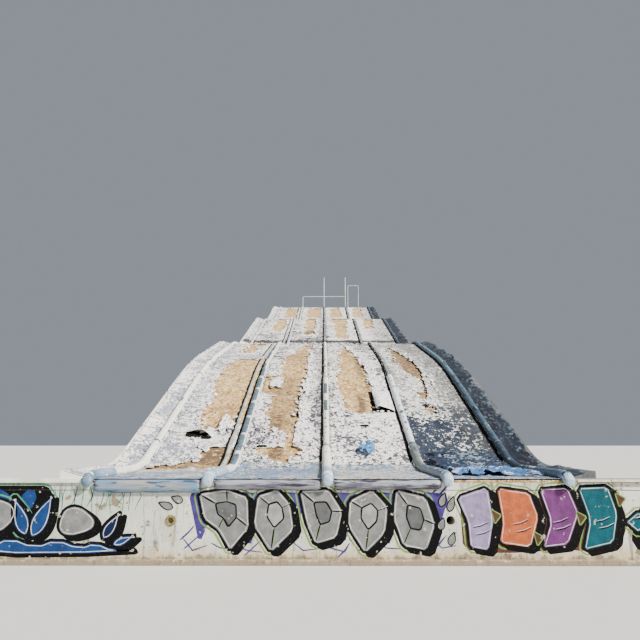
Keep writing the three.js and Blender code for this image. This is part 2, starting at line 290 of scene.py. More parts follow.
rubble("left_wall_stones", -WALL_BACK, -WALL_START, lambda u: wall_top(-u),
       lambda u, z, out: np.stack([-WALL_OUTER - out, WALL_FACE - u, z], -1), 11)
rubble("right_wall_stones", WALL_START, WALL_BACK, wall_top,
       lambda u, z, out: np.stack([WALL_OUTER + out, WALL_FACE + u, z], -1), 12)
rubble("rear_wall_stones", -WALL_OUTER, WALL_OUTER, lambda u: 0 * u + wall_top(WALL_BACK),
       lambda u, z, out: np.stack([-u, WALL_FACE + WALL_BACK + out, z], -1), 13)

# Slabs and start platform: concrete cast in place on the walls in four bays and a platform. It is bare, grey
# and weathered, with dirt in its pores.
concrete = Finish("weathered_concrete", (178, 172, 160), roughness=0.93)
concrete.tint(concrete.grain(0.9, 5).between(0.35, 0.65), (146, 142, 134))
concrete.tint(concrete.grain(0.05, 6).between(0.5, 0.75) * 0.6, (104, 98, 88))
concrete.relief(concrete.grain(0.015, 6), 0.005)
dress(concrete, "run_out_slab", "lower_slab", "middle_slab", "upper_slab", "start_platform")

# Pool end wall: masonry under a painted cement render, with a ring beam cast on top and a plinth at its foot.
# The paint has gone green to the left and bare and sandy along the foot, and water has run down it.
render = Finish("painted_render", (226, 224, 212), roughness=0.88)
render.tint(render.grain(0.7, 5).between(0.38, 0.62), (198, 200, 190))
leftward = render.along("X") * -1 + render.grain(0.6, 4) * 1.5
render.tint(leftward.between(2.0, 4.2) * 0.55, (176, 200, 178))
height = render.along("Z")
sandy = 1 - (height + render.grain(0.25, 5) * 0.35).between(0.26, 0.42)
render.tint(sandy * 0.8, (214, 196, 160))
runs = render.grain(0.05, 5, (1, 1, 0.07)).between(0.52, 0.68)
render.tint(runs * 0.75, (118, 110, 94))
foot_dirt = 1 - (height - render.grain(0.08, 7, (1, 1, 0.6)) * 0.26).between(-0.08, -0.01)
render.tint(foot_dirt * 0.7, (92, 78, 58))
render.tint(render.grain(0.22, 7).between(0.52, 0.62) * 0.35, (168, 160, 140))
chips = render.grain(0.16, 8).between(0.62, 0.64)
render.tint(chips * 0.9, (128, 112, 88))
render.tint(render.grain(0.03, 5).between(0.62, 0.66) * 0.75, (74, 66, 54))
render.relief(render.grain(0.03, 6) * 0.6 - chips * 0.5, 0.006)
dress(render, "pool_end_wall", "wall_ring_beam", "wall_plinth")

fitting = Finish("olive_fitting", (150, 138, 88), roughness=0.6)
fitting.tint(fitting.grain(0.02, 5).between(0.4, 0.65), (92, 80, 50))
fitting.relief(fitting.grain(0.01, 4), 0.002)
dress(fitting, "inlet_fitting")

# Foam mats: sheets of tan foam, thirty millimetres thick, glued to the slab in each lane. The sun has
# bleached them, and they are stained and dented where the liner has come away.
LANES, LANE_PITCH, LANE_HALF = 4, 1.5, 0.679
MAT, GLUE = 0.030, 0.001
RUN_OUT_END, LOWER_LANDING, TOP_CREST = 2.35, 15.8, 35.0


def lane_middle(lane):
    return (lane - (LANES + 1) / 2) * LANE_PITCH


def lane_edges(lane):
    return lane_middle(lane) - LANE_HALF, lane_middle(lane) + LANE_HALF


def ripple(x, y, size, seed):
    """Smooth noise between about -1 and 1, whose bumps are about size metres apart."""
    x, y = np.broadcast_arrays(np.asarray(x, float), np.asarray(y, float))
    values = (noise.noise(Vector((u / size, v / size, seed))) for u, v in zip(x.ravel(), y.ravel()))
    return np.fromiter(values, float, x.size).reshape(x.shape)


def smooth(value, low, high):
    t = np.clip((value - low) / (high - low), 0, 1)
    return t * t * (3 - 2 * t)


def spaced(start, end, step):
    return np.linspace(start, end, max(int(round((end - start) / step)), 1) + 1)


def cut_grid(us, vs, keep=lambda u, v: 1 + 0 * u):
    """A grid cut off where keep falls to zero: u, v and keep at its points, and its faces."""
    u, v = np.meshgrid(us, vs)
    index = np.arange(u.size).reshape(u.shape)
    corners = np.stack([index[:-1, :-1], index[:-1, 1:], index[1:, 1:], index[1:, :-1]], -1).reshape(-1, 4)
    kept = keep(u, v)
    inside = (kept.ravel()[corners] > 0).sum(1)
    faces = corners[inside == 4].tolist()
    points = np.stack([u, v, kept], -1).reshape(-1, 3).tolist()
    crossings = {}
    for face in corners[(inside > 0) & (inside < 4)].tolist():
        outline = []
        for a, b in zip(face, face[1:] + face[:1]):
            at_a, at_b = points[a][2], points[b][2]
            if at_a > 0:
                outline.append(a)
            if (at_a > 0) != (at_b > 0):
                key = (min(a, b), max(a, b))
                if key not in crossings:
                    t = at_a / (at_a - at_b)
                    crossings[key] = len(points)
                    points.append([*(p + t * (q - p) for p, q in zip(points[a][:2], points[b])), 0.0])
                outline.append(crossings[key])
        faces.append(outline)
    used = sorted({corner for face in faces for corner in face})
    renumber = {old: new for new, old in enumerate(used)}
    return *np.array(points)[used].T, [tuple(renumber[corner] for corner in face) for face in faces]


def shell(upper, lower, faces):
    """A closed body between two like surfaces: the upper one, the lower one turned over, and the rim."""
    count = len(upper)
    directed = {(face[k - 1], face[k]) for face in faces for k in range(len(face))}
    rim = [(b, a, a + count, b + count) for a, b in directed if (b, a) not in directed]
    under = [tuple(corner + count for corner in reversed(face)) for face in faces]
    return np.concatenate([upper, lower]), faces + under + rim


def at(x, s, rise):
    """A point rise metres above the ride surface."""
    x, s, rise = np.broadcast_arrays(x, s, rise)
    return np.stack([x, s + WALL_FACE, ride(s) + rise], -1)


UP_SLOPE = (1, 0.5, 1)
foam = Finish("sun_bleached_foam", (206, 168, 106), roughness=0.92)
foam.tint(foam.grain(0.45, 4, (1, 0.4, 1)).between(0.35, 0.65), (220, 190, 136))
foam.tint(foam.grain(0.16, 5, UP_SLOPE).between(0.48, 0.60) * 0.7, (158, 116, 66))
foam.tint(foam.grain(0.05, 5, UP_SLOPE).between(0.54, 0.60) * 0.75, (122, 88, 52))
foam.tint(foam.grain(0.07, 4, UP_SLOPE).between(0.54, 0.62) * 0.85, (248, 230, 192))
# Stains and, in the last lane, painted shade darken the foam where the measure says.
foam_stain = foam.measure("stain") * foam.grain(0.07, 6, (0.6, 1, 1)).between(0.30, 0.52)
foam.tint(foam_stain * 0.95, (96, 74, 52))
foam_pits = foam.grain(0.012, 2)
foam.tint(foam_pits.between(0.54, 0.64) * 0.75, (96, 66, 40))
foam.tint(foam.grain(0.09, 7, (1, 0.6, 1)).between(0.60, 0.63) * 0.8, (66, 48, 34))
foam.relief(foam.grain(0.05, 4) + foam_pits * 0.4, 0.012)

# Dark places in each lane's foam: x, s, half width, half length and how dark.
# Some are stains; the two in the last lane are painted shade.
STAINS_AND_SHADE = {
    1: [(-1.95, 2.85, 0.40, 0.50, 1.0), (-2.5, 2.45, 0.55, 0.22, 0.8), (-2.1, 5.0, 0.35, 0.10, 0.6),
        (-2.2, 3.95, 0.25, 0.25, 0.5)],
    2: [(-0.85, 5.4, 0.5, 1.9, 0.5), (-0.8, 9.5, 0.4, 1.6, 0.3), (-0.97, 4.3, 0.18, 0.50, 1.0),
        (-0.86, 2.95, 0.17, 0.32, 1.0), (-1.0, 6.0, 0.32, 0.45, 0.6), (-0.6, 20.1, 0.4, 0.6, 0.9)],
    3: [(0.86, 8.0, 0.13, 1.5, 0.8), (0.74, 5.2, 0.09, 0.75, 1.0), (0.95, 6.2, 0.08, 0.8, 0.6),
        (0.5, 10.0, 0.2, 0.9, 0.4)],
    4: [(2.10, 8.8, 0.45, 2.9, 0.9), (2.1, 5.2, 0.3, 0.9, 0.6)],
}
MATS = (("run_out", 0.0, RUN_OUT_END), ("lower", RUN_OUT_END, LOWER_LANDING),
        ("upper", LOWER_LANDING, TOP_CREST))
FOAM_CELL = 0.09
for lane in range(1, LANES + 1):
    for length, start, end in MATS:
        x, s, _, faces = cut_grid(spaced(*lane_edges(lane), FOAM_CELL), spaced(start, end, FOAM_CELL))
        dents = 0.002 * (1 + ripple(x, s, 0.35, lane)) + 0.003 * smooth(ripple(x, s, 0.9, lane + 9), 0.2, 0.7)
        stain = 0 * x
        for stain_x, stain_s, half_width, half_length, dark in STAINS_AND_SHADE[lane]:
            reach = np.hypot((x - stain_x) / half_width, (s - stain_s) / half_length)
            stain = np.maximum(stain, dark * (1 - smooth(reach, 0.6, 1.15)))
        body = shell(at(x, s, -dents), at(x, s, GLUE - MAT), faces)
        mat = piece_of(f"foam_{length}_lane_{lane}", body, foam, "foam_mat",
                       f"lane_{lane}_{length}_mat", stain=stain)

# Liner: thin plastic-coated sheeting glued over the foam, one width in each lane. It was light blue. Its top
# coat has chalked and flakes off white, and riders and weather have torn it away along the middle of a lane.
# Each tear is a list of places up the slide, with the tear's left and right edge there.
TEARS = {
    1: [
        [(3.50, -2.3, -2.1), (3.62, -2.58, -2.08), (3.86, -2.6, -2.06)],
        [(2.05, -2.95, -1.5), (2.35, -2.8, -1.5), (2.5, -2.45, -1.5), (2.6, -2.25, -1.5), (3.0, -2.16, -1.5),
         (3.15, -2.1, -1.75)],
        [(3.86, -2.22, -2.0), (4.1, -2.42, -1.62), (4.3, -2.44, -1.5), (5.0, -2.5, -1.5), (5.2, -2.38, -1.5),
         (6.0, -2.52, -1.5), (7.0, -2.55, -1.5), (8.0, -2.5, -1.5), (8.9, -2.3, -1.5)],
        [(10.2, -2.5, -2.1), (12.5, -2.4, -1.9)],
        [(20.3, -2.36, -2.0), (21, -2.4, -1.86), (24, -2.3, -1.84)],
        [(30.8, -2.5, -1.75), (34.1, -2.55, -1.7)],
    ],
    2: [
        [(2.50, -0.95, -0.62), (2.66, -1.0, -0.6), (2.87, -1.18, -0.42), (3.12, -1.3, -0.42),
         (3.16, -0.76, -0.58), (3.73, -0.74, -0.54), (3.92, -1.12, -0.6), (4.34, -1.16, -0.56),
         (4.95, -1.17, -0.55), (5.7, -1.16, -0.55), (5.86, -1.42, -0.5), (6.83, -1.45, -0.46),
         (7.0, -1.08, -0.44), (7.8, -1.06, -0.44), (8.5, -1.2, -0.45), (9.6, -1.0, -0.46),
         (9.9, -0.85, -0.45), (11.7, -0.78, -0.36), (12.07, -0.45, -0.32)],
        [(19.5, -0.9, -0.4), (20.5, -0.85, -0.45)], [(20.8, -0.95, -0.4), (24.0, -0.9, -0.4)],
        [(30.8, -1.12, -0.24), (34.1, -1.1, -0.22)],
    ],
    3: [
        [(4.74, 0.98, 1.38), (5.6, 0.98, 1.36)],
        [(4.66, 0.62, 0.78), (4.78, 0.50, 1.0), (4.9, 0.34, 1.02), (5.64, 0.35, 1.03), (6.1, 0.25, 1.04),
         (6.9, 0.26, 1.0), (7.3, 0.30, 0.99), (7.8, 0.32, 0.95), (8.35, 0.33, 0.9), (10.2, 0.34, 0.78),
         (10.5, 0.36, 0.74), (11.7, 0.58, 0.62)],
        [(18.6, 0.48, 1.02), (22.8, 0.46, 1.05), (23.1, 0.36, 1.15), (24.0, 0.34, 1.18)],
        [(30.8, 0.38, 1.08), (34.1, 0.40, 1.1)],
    ],
    4: [
        [(4.62, 2.08, 2.2), (5.08, 1.98, 2.2)], [(5.4, 2.0, 2.16), (5.85, 2.0, 2.2)],
        [(5.8, 2.14, 2.22), (6.7, 2.23, 2.29)],
        [(6.6, 2.18, 2.28), (6.9, 2.08, 2.30), (7.42, 1.93, 2.33), (8.7, 1.78, 2.24), (10, 1.80, 2.14),
         (11.06, 1.85, 2.0)],
        [(21.0, 1.9, 2.3), (23.6, 1.85, 2.4)], [(30.8, 1.85, 2.4), (34.1, 1.9, 2.45)],
    ],
}
# Where a flap stands up off the mat, as x and s. The sheet round its foot lies flat and is cut clean.
FLAP_SPOTS = {1: (-2.35, 3.60), 3: (1.17, 5.2)}


def off_flap(x, s, lane):
    flap_x, flap_s = FLAP_SPOTS.get(lane, (0, -9))
    return smooth(np.hypot((x - flap_x) / 0.40, (s - flap_s) / 0.8), 0.9, 1.3)


def beyond_tears(x, s, lane):
    """Distance in metres from the ragged edge of the lane's nearest tear, negative in the tear."""
    ragged = 0.05 * ripple(x, s / 2, 0.09, lane) + 0.04 * ripple(x, s / 2, 0.045, lane + 5)
    ragged += (0.04 + 0.010 * np.clip(s - 8, 0, 12)) * ripple(x, s / 2, 0.25, lane + 7)
    nearest = np.full(x.shape, 9.0)
    for rows in TEARS[lane]:
        places, lefts, rights = np.array(rows).T
        left, right = np.interp(s, places, lefts), np.interp(s, places, rights)
        nearest = np.minimum(nearest, np.maximum.reduce([left - x, x - right, places[0] - s, s - places[-1]]))
    free = off_flap(x, s, lane)
    scraps = 0.06 - 0.14 * ripple(x, s / 2.5, 0.10, lane + 20) + 0.8 * np.clip(nearest - 0.08, 0, 1)
    return np.minimum(nearest + ragged * free, scraps + 1 - free)


FLAKE_SIZE = 0.05
# Where a painted shadow line crosses the middle drop, where it shows just over the lower crest.
CREST_SHADOW_BAND = LOWER_LANDING + 2.70 + WALL_FACE


def liner_finish(name, ground, flake, flake_share, lie=(1, 0.6, 1)):
    """Faded sheeting with crisp pale flakes of its chalked coat, more of them for a higher flake_share."""
    liner = Finish(name, ground, roughness=0.55)
    liner.tint(liner.grain(0.5, 4, UP_SLOPE).between(0.35, 0.65), [c - 24 for c in ground])
    # The measure lightens the sheet and adds flakes where the painted shade low on the last lane gives way.
    liner.tint(liner.measure("bleached") * 0.75, (180, 176, 166))
    liner.tint(liner.grain(0.07, 7, lie).between(0.50, 0.72) * 0.6, (104, 100, 98))
    sockets = {"Vector": liner.place((1, 0.6, 1)), "Scale": 1 / FLAKE_SIZE}
    scales = liner.node("ShaderNodeTexVoronoi", {}, sockets, output="Color")
    luck = liner.node("ShaderNodeSeparateColor", {}, {"Color": scales})
    worn = liner.grain(0.05, 6, lie) * 0.75 + liner.grain(0.13, 5, lie) * 0.45 + liner.grain(0.7, 4) * 0.4
    worn = worn + liner.measure("worn") * 0.12 + luck * 0.12 + liner.measure("bleached") * 0.07
    flakes = worn.between(0.88 - flake_share, 0.89 - flake_share)
    liner.tint(flakes, liner.mix(liner.grain(0.03, 3).between(0.3, 0.7), flake, [c - 22 for c in flake]))
    # Darker towards a lane's right edge, by the measure: dirt and painted shade.
    dirt = liner.measure("dirt") * liner.grain(0.06, 6, lie).between(0.34, 0.58)
    liner.tint(dirt * 0.75, (74, 78, 80))
    # Near-black specks scattered over the sheet.
    dark_specks = liner.grain(0.03, 5, (1, 0.6, 1)) * 0.6 + liner.grain(0.08, 5, (0.7, 1, 1)) * 0.4
    liner.tint(dark_specks.between(0.545, 0.565) * 0.9, (34, 32, 32))
    # Painted shadow: a patchy near-black band across all lanes on the middle drop.
    off_band = (liner.along("Y") + liner.grain(0.3, 6) - CREST_SHADOW_BAND).math("ABSOLUTE")
    crest_shadow = (1 - off_band.between(0.20, 0.36)) * liner.grain(0.16, 6).between(0.28, 0.44)
    liner.tint(crest_shadow * 0.95, (44, 42, 40))
    liner.feed("Roughness", 0.5 + flakes * 0.3)
    liner.relief(flakes * 0.5 + liner.grain(0.02, 4) * 0.3 + liner.grain(0.2, 3), 0.018)
    return liner


LINER_THICK = 0.003
faded_liner = liner_finish("faded_liner", (94, 96, 108), (255, 254, 252), 0.02)
pale_liner = liner_finish("pale_liner", (168, 174, 188), (252, 252, 252), 0.0)
# This liner's dark blue ground is painted shade on the last lane's lower drop.
shaded_grey_liner = liner_finish("shaded_grey_liner", (44, 56, 74), (236, 238, 236), -0.07)
blue_liner = liner_finish("blue_liner", (124, 154, 188), (214, 210, 200), -0.01)
# How dark a lane's right edge is, and how far in from the tube it darkens: dirt and painted shade, which
# reaches far across the last lane.
DIRT_AND_SHADE_EDGES = {2: (0.8, 0.36), 4: (1.0, 1.2)}


def lay_liner(length, lane, start, end, cell, finish, lift):
    """One length of a lane's sheeting: torn, curled up along the tears, and blistered between them."""
    left, right = lane_edges(lane)
    x, s, clear, faces = cut_grid(spaced(left, right, cell), spaced(start, end, cell),
                                  lambda u, v: beyond_tears(u, v, lane))
    curl = (0.008 + 0.060 * smooth(ripple(x, s, 0.22, lane + 30), 0.0, 0.6)) * off_flap(x, s, lane)
    blisters = smooth(ripple(x, s, 0.15, lane + 50), 0.25, 0.6)
    wave = 0.004 * (1 + ripple(x, s, 0.4, lane + 40)) + 0.006 * blisters
    rise = lift + wave + curl * (1 - np.clip(clear / 0.09, 0, 1)) ** 2
    worn = 1 - np.clip(clear / 0.35, 0, 1) + 0.35 * (lane == 3) * smooth(s, 5.5, 4.5)
    strength, reach = DIRT_AND_SHADE_EDGES.get(lane, (0, 1))
    dirt = strength * (1 - smooth((right - x) / np.interp(s, (3, 8), (0.4 * reach, reach)), 0.35, 1.0))
    # Painted shade on the last lane lifts between about 4.4 and 6 metres up the slide.
    bleached = (lane == LANES) * smooth(s + 0.8 * ripple(x, s, 0.7, 3), 4.4, 6.0)
    body = shell(at(x, s, rise + LINER_THICK), at(x, s, rise), faces)
    piece_of(f"liner_{length}_lane_{lane}", body, finish, "liner", worn=worn, bleached=bleached, dirt=dirt)


for lane, run_out_liner_end in enumerate((2.15, 2.58, 2.44, 2.4), 1):
    drop_finish = {1: pale_liner, LANES: shaded_grey_liner}.get(lane, faded_liner)
    lay_liner("upper", lane, LOWER_LANDING - 0.1, TOP_CREST, 0.075, faded_liner, 0.008)
    lay_liner("lower", lane, 1.9, LOWER_LANDING, 0.042, drop_finish, 0.004)
    lay_liner("run_out", lane, 0.0, run_out_liner_end, 0.05, blue_liner, 0.010)

# Divider tubes: round foam cores on the lane lines, each in a sleeve of the same sheeting with lapped joints.
# The sleeves have worn through in patches, and each tube ends over the lip in a rounded cap.
TUBES = range(1, LANES + 2)
TUBE_SIDES, TUBE_STEP, SLEEVE_SWELL = 24, 0.15, 0.005
TURNS = (np.arange(TUBE_SIDES) + 0.5) / TUBE_SIDES * 2 * math.pi
SLEEVE_JOINTS = np.array([3.2, 6.9, 11.1, 15.0, 19.2, 23.6, 27.6, 31.4])
SLEEVE_SHIFTS = (0.05, -0.15, -0.17, -0.07, 0.0)
# Each tube's radius up to its first, second, third and fourth joint and beyond, and how dark it is there.
# The fifth tube's dark tones, and the fourth tube's beyond its fourth joint, are painted shade.
SLEEVE_RADII = (
    (0.068, 0.066, 0.062, 0.060, 0.048), (0.068, 0.063, 0.057, 0.060, 0.052),
    (0.071, 0.058, 0.048, 0.052, 0.042), (0.070, 0.067, 0.050, 0.058, 0.046),
    (0.070, 0.069, 0.068, 0.066, 0.056),
)
SLEEVE_TONES = (
    (0.0, 0.1, 0.0, 0.2, 0.5), (0.05, 0.2, 0.1, 0.3, 0.5), (0.1, 0.0, 0.2, 0.15, 0.9),
    (0.9, 0.1, 0.8, 0.4, 0.9), (0.9, 0.75, 0.4, 0.5, 0.8),
)


def tube_line(tube):
    return (tube - 1 - LANES / 2) * LANE_PITCH


def sleeve_joints(tube):
    return SLEEVE_JOINTS + SLEEVE_SHIFTS[tube - 1]


def along_sleeves(rows, tube, s):
    """The value that rows hold for the tube's length at each place."""
    values = np.array(rows[tube - 1])
    return values[np.minimum(np.searchsorted(sleeve_joints(tube), s), len(values) - 1)]


def on_tube(tube, s, turn, radius, core):
    """A point round a tube of radius core that lies on the slab, turn round from its right side."""
    s, turn, radius, core = np.broadcast_arrays(s, turn, radius, core)
    stretch = np.hypot(1, (ride(s + 0.01) - ride(s - 0.01)) / 0.02)
    z = ride(s) - MAT + stretch * (core + radius * np.sin(turn))
    return np.stack([tube_line(tube) + radius * np.cos(turn), s + WALL_FACE, z], -1)


def round_body(rings):
    """A closed body through like rings of points, with its two ends filled."""
    count, sides = rings.shape[:2]
    faces = [tuple(range(sides)), tuple(range((count - 1) * sides, count * sides))[::-1]]
    for a in range((count - 1) * sides):
        b = a + 1 if (a + 1) % sides else a + 1 - sides
        faces.append((b, a, a + sides, b + sides))
    return rings.reshape(-1, 3), faces


def cover_finish(name, pale, dark, bare, bare_share):
    """A sleeve's sheeting, pale at tone 0 and dark at tone 1, rubbed bare more for a higher bare_share."""
    cover = Finish(name, pale, roughness=0.5)
    tone = cover.measure("tone") + (cover.grain(0.12, 6, UP_SLOPE) - 0.5) * 0.9
    cover.tint(tone.between(0.0, 1.0), dark)
    patches = cover.grain(0.10, 6, (1, 0.45, 1)).between(0.60 - bare_share, 0.63 - bare_share)
    cover.tint(patches, bare)
    cover.tint(cover.grain(0.024, 5).between(0.575, 0.62) * 0.8, (66, 68, 68))
    cover.relief(cover.grain(0.04, 4) + patches * 0.3, 0.006)
    return cover


COVERS = [cover_finish(f"tube_cover_{tube}", *colours) for tube, colours in zip(TUBES, (
    ((240, 238, 230), (132, 138, 138), (250, 248, 242), 0.05),
    ((224, 228, 228), (138, 160, 172), (236, 232, 220), 0.03),
    ((246, 242, 232), (88, 100, 110), (252, 250, 244), 0.0),
    ((226, 232, 240), (108, 120, 116), (240, 242, 244), 0.0),
    # The fifth tube's darker blues are painted shade.
    ((112, 142, 160), (34, 52, 72), (132, 158, 172), -0.02),
))]
cap_cover = cover_finish("tube_end_wrap", (176, 200, 220), (72, 98, 124), (226, 228, 226), 0.0)
# The cap's rings up the slide: s, radius and how far the ring hangs down.
NOSE_RINGS = [(-0.086, 0.028, 0.072), (-0.083, 0.046, 0.070), (-0.072, 0.060, 0.062), (-0.050, 0.069, 0.048),
              (-0.015, 0.072, 0.028)]
CAP_RADIUS = 0.0735
CAP_ENDS = (0.9, 1.3, 1.25, 1.9, 1.6)
# How dark each cap is at its nose and further up. The dark far ends of the last two caps are painted shade.
CAP_TONES = ((0.8, 0.5), (0.25, 0.3), (0.3, 0.3), (0.2, 0.85), (0.25, 0.95))
for tube in TUBES:
    joints = sleeve_joints(tube)
    for length, start, end in (("lower", 0.0, LOWER_LANDING), ("upper", LOWER_LANDING, TOP_CREST)):
        stops = np.array([start, *joints[(joints > start) & (joints < end - 0.4)], end])
        laps = [joint + offset for joint in stops[1:-1] for offset in (-0.002, 0.002)]
        s = np.unique(np.concatenate([spaced(start, end, TUBE_STEP), laps]))[:, None]
        section = np.clip(np.searchsorted(stops, s, "right") - 1, 0, len(stops) - 2)
        swell = smooth((s - stops[section]) / (stops[section + 1] - stops[section]), 0.0, 1.0)
        core = along_sleeves(SLEEVE_RADII, tube, s) + SLEEVE_SWELL * swell
        rings = on_tube(tube, s, TURNS, core + 0.0035 * ripple(TURNS / 5, s, 0.22, tube) - 0.003, core)
        tone = np.repeat(along_sleeves(SLEEVE_TONES, tube, s), TUBE_SIDES)
        piece_of(f"tube_{tube}_{length}_cover", round_body(rings), COVERS[tube - 1], "tube_cover",
                 f"divider_tube_{tube}_{length}", tone=tone)

    # The end of each tube is wrapped in a second, blue sleeve, which hangs a little over the lip.
    cap_end = CAP_ENDS[tube - 1]
    wrap = [(place, CAP_RADIUS, 0.02 * max(0, 1 - place / 0.15)) for place in spaced(0.03, cap_end, 0.06)]
    s, width, droop = np.array([*NOSE_RINGS, *wrap, (cap_end + 0.01, 0.070, 0.0)]).T[..., None]
    ruffles = 0.006 * ripple(TURNS / 3, s, 0.09, tube) * (s > -0.06)
    rings = on_tube(tube, s, TURNS, width + ruffles, CAP_RADIUS)
    rings[..., 2] -= droop
    tone = np.repeat(np.interp(s, (0.02, 0.18), CAP_TONES[tube - 1]), TUBE_SIDES)
    piece_of(f"tube_{tube}_cap", round_body(rings), cap_cover, "liner", tone=tone)

# Windows worn through the sleeves' tops, in rows as long as the bars between them hold, and the dark mouths
# at the sleeves' joints. Each has a start, an end, and a first and last turn round the tube.
WINDOWS = {
    1: [(5.1, 5.3, 1.3, 1.8), (8.2, 8.5, 1.2, 1.8)],
    2: [*((2.0 + 0.78 * k, 2.69 + 0.78 * k, 0.75, 2.25) for k in range(7)), (7.2, 7.9, 1.2, 2.0),
        (8.4, 9.6, 1.3, 1.9), (10.0, 10.9, 1.3, 1.9)],
    3: [(4.62, 5.20, 1.0, 2.15), (5.54, 6.22, 1.0, 2.15), (4.2, 4.28, 1.4, 1.9), (3.8, 3.86, 1.3, 1.7),
        (7.6, 7.75, 1.3, 1.9), (8.4, 8.5, 1.3, 1.9),
        *((2.70 + 0.43 * k, 2.735 + 0.43 * k, 1.45, 1.75) for k in range(14))],
    4: [(2.75, 2.95, 1.0, 1.8), (3.95, 4.02, 1.2, 1.7), (4.45, 4.58, 1.1, 2.0), (5.9, 5.96, 1.2, 1.7),
        (6.3, 6.36, 1.2, 1.7), *((2.52 + 0.57 * k, 2.555 + 0.57 * k, 1.5, 1.8) for k in range(9))],
    5: [(3.6, 4.0, 1.4, 2.4), (4.6, 4.8, 1.0, 1.9), (5.6, 5.9, 0.9, 1.6), (6.2, 6.6, 1.4, 2.2),
        (7.6, 8.0, 1.0, 1.6)],
}


def off_centre(u, v, left, right, start, end):
    """0 in the middle of a rectangle, and 1 along its sides."""
    return np.maximum(abs(2 * u - left - right) / (right - left), abs(2 * v - start - end) / (end - start))


def joined(bodies):
    points, faces = [], []
    for body_points, body_faces in bodies:
        faces += [tuple(corner + len(points) for corner in face) for face in body_faces]
        points += body_points.tolist()
    return points, faces


worn_core = Finish("worn_tube_core", (88, 112, 124))
worn_core.tint(worn_core.grain(0.05, 5).between(0.4, 0.65), (56, 72, 84))
worn_core.relief(worn_core.grain(0.01, 3), 0.003)
for tube, windows in WINDOWS.items():
    mouths = [(joint - 0.05, joint - 0.004, 0.2, 2.94) for joint in sleeve_joints(tube)]
    bodies = []
    for start, end, *turns in windows + mouths:
        turn, s, _, faces = cut_grid(
            np.linspace(*turns, 9), spaced(start, end, min(0.05, (end - start) / 4)),
            lambda u, v: 0.94 - off_centre(u, v, *turns, start, end) + 0.16 * ripple(u / 15, v, 0.05, tube))
        core = along_sleeves(SLEEVE_RADII, tube, s) + SLEEVE_SWELL
        upper, lower = (on_tube(tube, s, turn, core + proud, core) for proud in (0.001, -0.006))
        bodies.append(shell(upper, lower, faces))
    piece_of(f"tube_{tube}_worn_windows", joined(bodies), worn_core, "tube_cover")

# Welts: the liner's edges, which were turned up along both sides of each tube and glued to its sleeve. They
# have split and are lifting.
SIDES = {"left": -1, "right": 1}
WELT_ACROSS = np.linspace(0, 1, 4)
WELT_OUT, WELT_UP = (0.014, 0.010, 0.006, 0.004), (0.010, 0.020, 0.038, 0.052)


def turned_over(faces):
    return [face[::-1] for face in faces]


for tube in TUBES:
    for name, side in SIDES.items():
        def welt_edge(u, v):
            splits = 0.3 * ripple(v, u * 0.05, 0.07, tube - side)
            return 0.72 - u + 0.5 * ripple(v, 0, 0.3, tube + side) + splits

        u, s, _, faces = cut_grid(np.linspace(0, 1, 5), spaced(2.3, TOP_CREST - 0.02, 0.10), welt_edge)
        out = along_sleeves(SLEEVE_RADII, tube, s) + np.interp(u, WELT_ACROSS, WELT_OUT)
        out += 0.004 * (1 + ripple(s, u, 0.2, tube))
        up = np.interp(u, WELT_ACROSS, WELT_UP)
        outer = at(tube_line(tube) + side * out, s, up)
        inner = at(tube_line(tube) + side * (out - 0.003), s, up - 0.001)
        body = shell(outer, inner, faces if side < 0 else turned_over(faces))
        piece_of(f"tube_{tube}_{name}_welt", body, faded_liner, "liner", worn=0.5)

# Painted shade: near-black sheets coloured like silt, laid where shade falls on the slide. These lie in the
# groove along the left of the tubes, in each tube's shadow.
painted_shade = Finish("near_black_shade", (14, 13, 12), roughness=0.97)
painted_shade.tint(painted_shade.grain(0.05, 6).between(0.4, 0.62), (34, 28, 22))
painted_shade.relief(painted_shade.grain(0.02, 6), 0.012)
painted_shade.shader["Specular IOR Level"].default_value = 0.1


# Lays a near-black sheet of painted shade a little above the slide.
def lay_painted_shade(name, x, s, rise, faces, foot=0.001):
    piece_of(name, shell(at(x, s, rise), at(x, s, foot), faces), painted_shade, "liner")


for tube in TUBES[1:]:
    u, s, _, faces = cut_grid(np.linspace(0, 1, 4), spaced(2.6, TOP_CREST - 0.05, 0.12),
                              lambda u, v: 0.8 - u + 0.35 * ripple(v, u, 0.25, tube))
    x = tube_line(tube) - (along_sleeves(SLEEVE_RADII, tube, s) - 0.010 + 0.068 * u)
    hump = 0.040 * (1 - u) + 0.014 + 0.004 * ripple(u, s, 0.1, tube)
    lay_painted_shade(f"tube_{tube}_silt", x, s, hump, turned_over(faces), foot=0.002)

# Foam strip: the cream edge of a mat, which has come unglued and stands up between the second tube and the
# first lane's liner.
cream_foam = Finish("cream_foam_edge", (186, 186, 176), roughness=0.9)
cream_foam.tint(cream_foam.grain(0.2, 6).between(0.4, 0.6), (146, 148, 138))
cream_foam.tint(cream_foam.grain(0.04, 6).between(0.56, 0.68), (90, 80, 62))
cream_foam.relief(cream_foam.grain(0.03, 6), 0.010)


STRIP_LINE = -1.685


def strip_line(s):
    return STRIP_LINE + 0.012 * ripple(s, 0, 0.6, 4)


across = np.array((-0.036, -0.038, -0.025, 0.0, 0.025, 0.037, 0.035))
up = np.array((0.006, 0.026, 0.040, 0.045, 0.041, 0.026, 0.006))
s = spaced(0.9, TOP_CREST - 0.3, 0.09)[:, None]
rings = at(strip_line(s) + across + 0.004 * ripple(up, s, 0.08, 2), s, up * (1 + 0.25 * ripple(s, 0, 0.2, 8)))
strip = piece_of("raised_foam_strip", round_body(rings[:, ::-1]), cream_foam, "foam_mat")
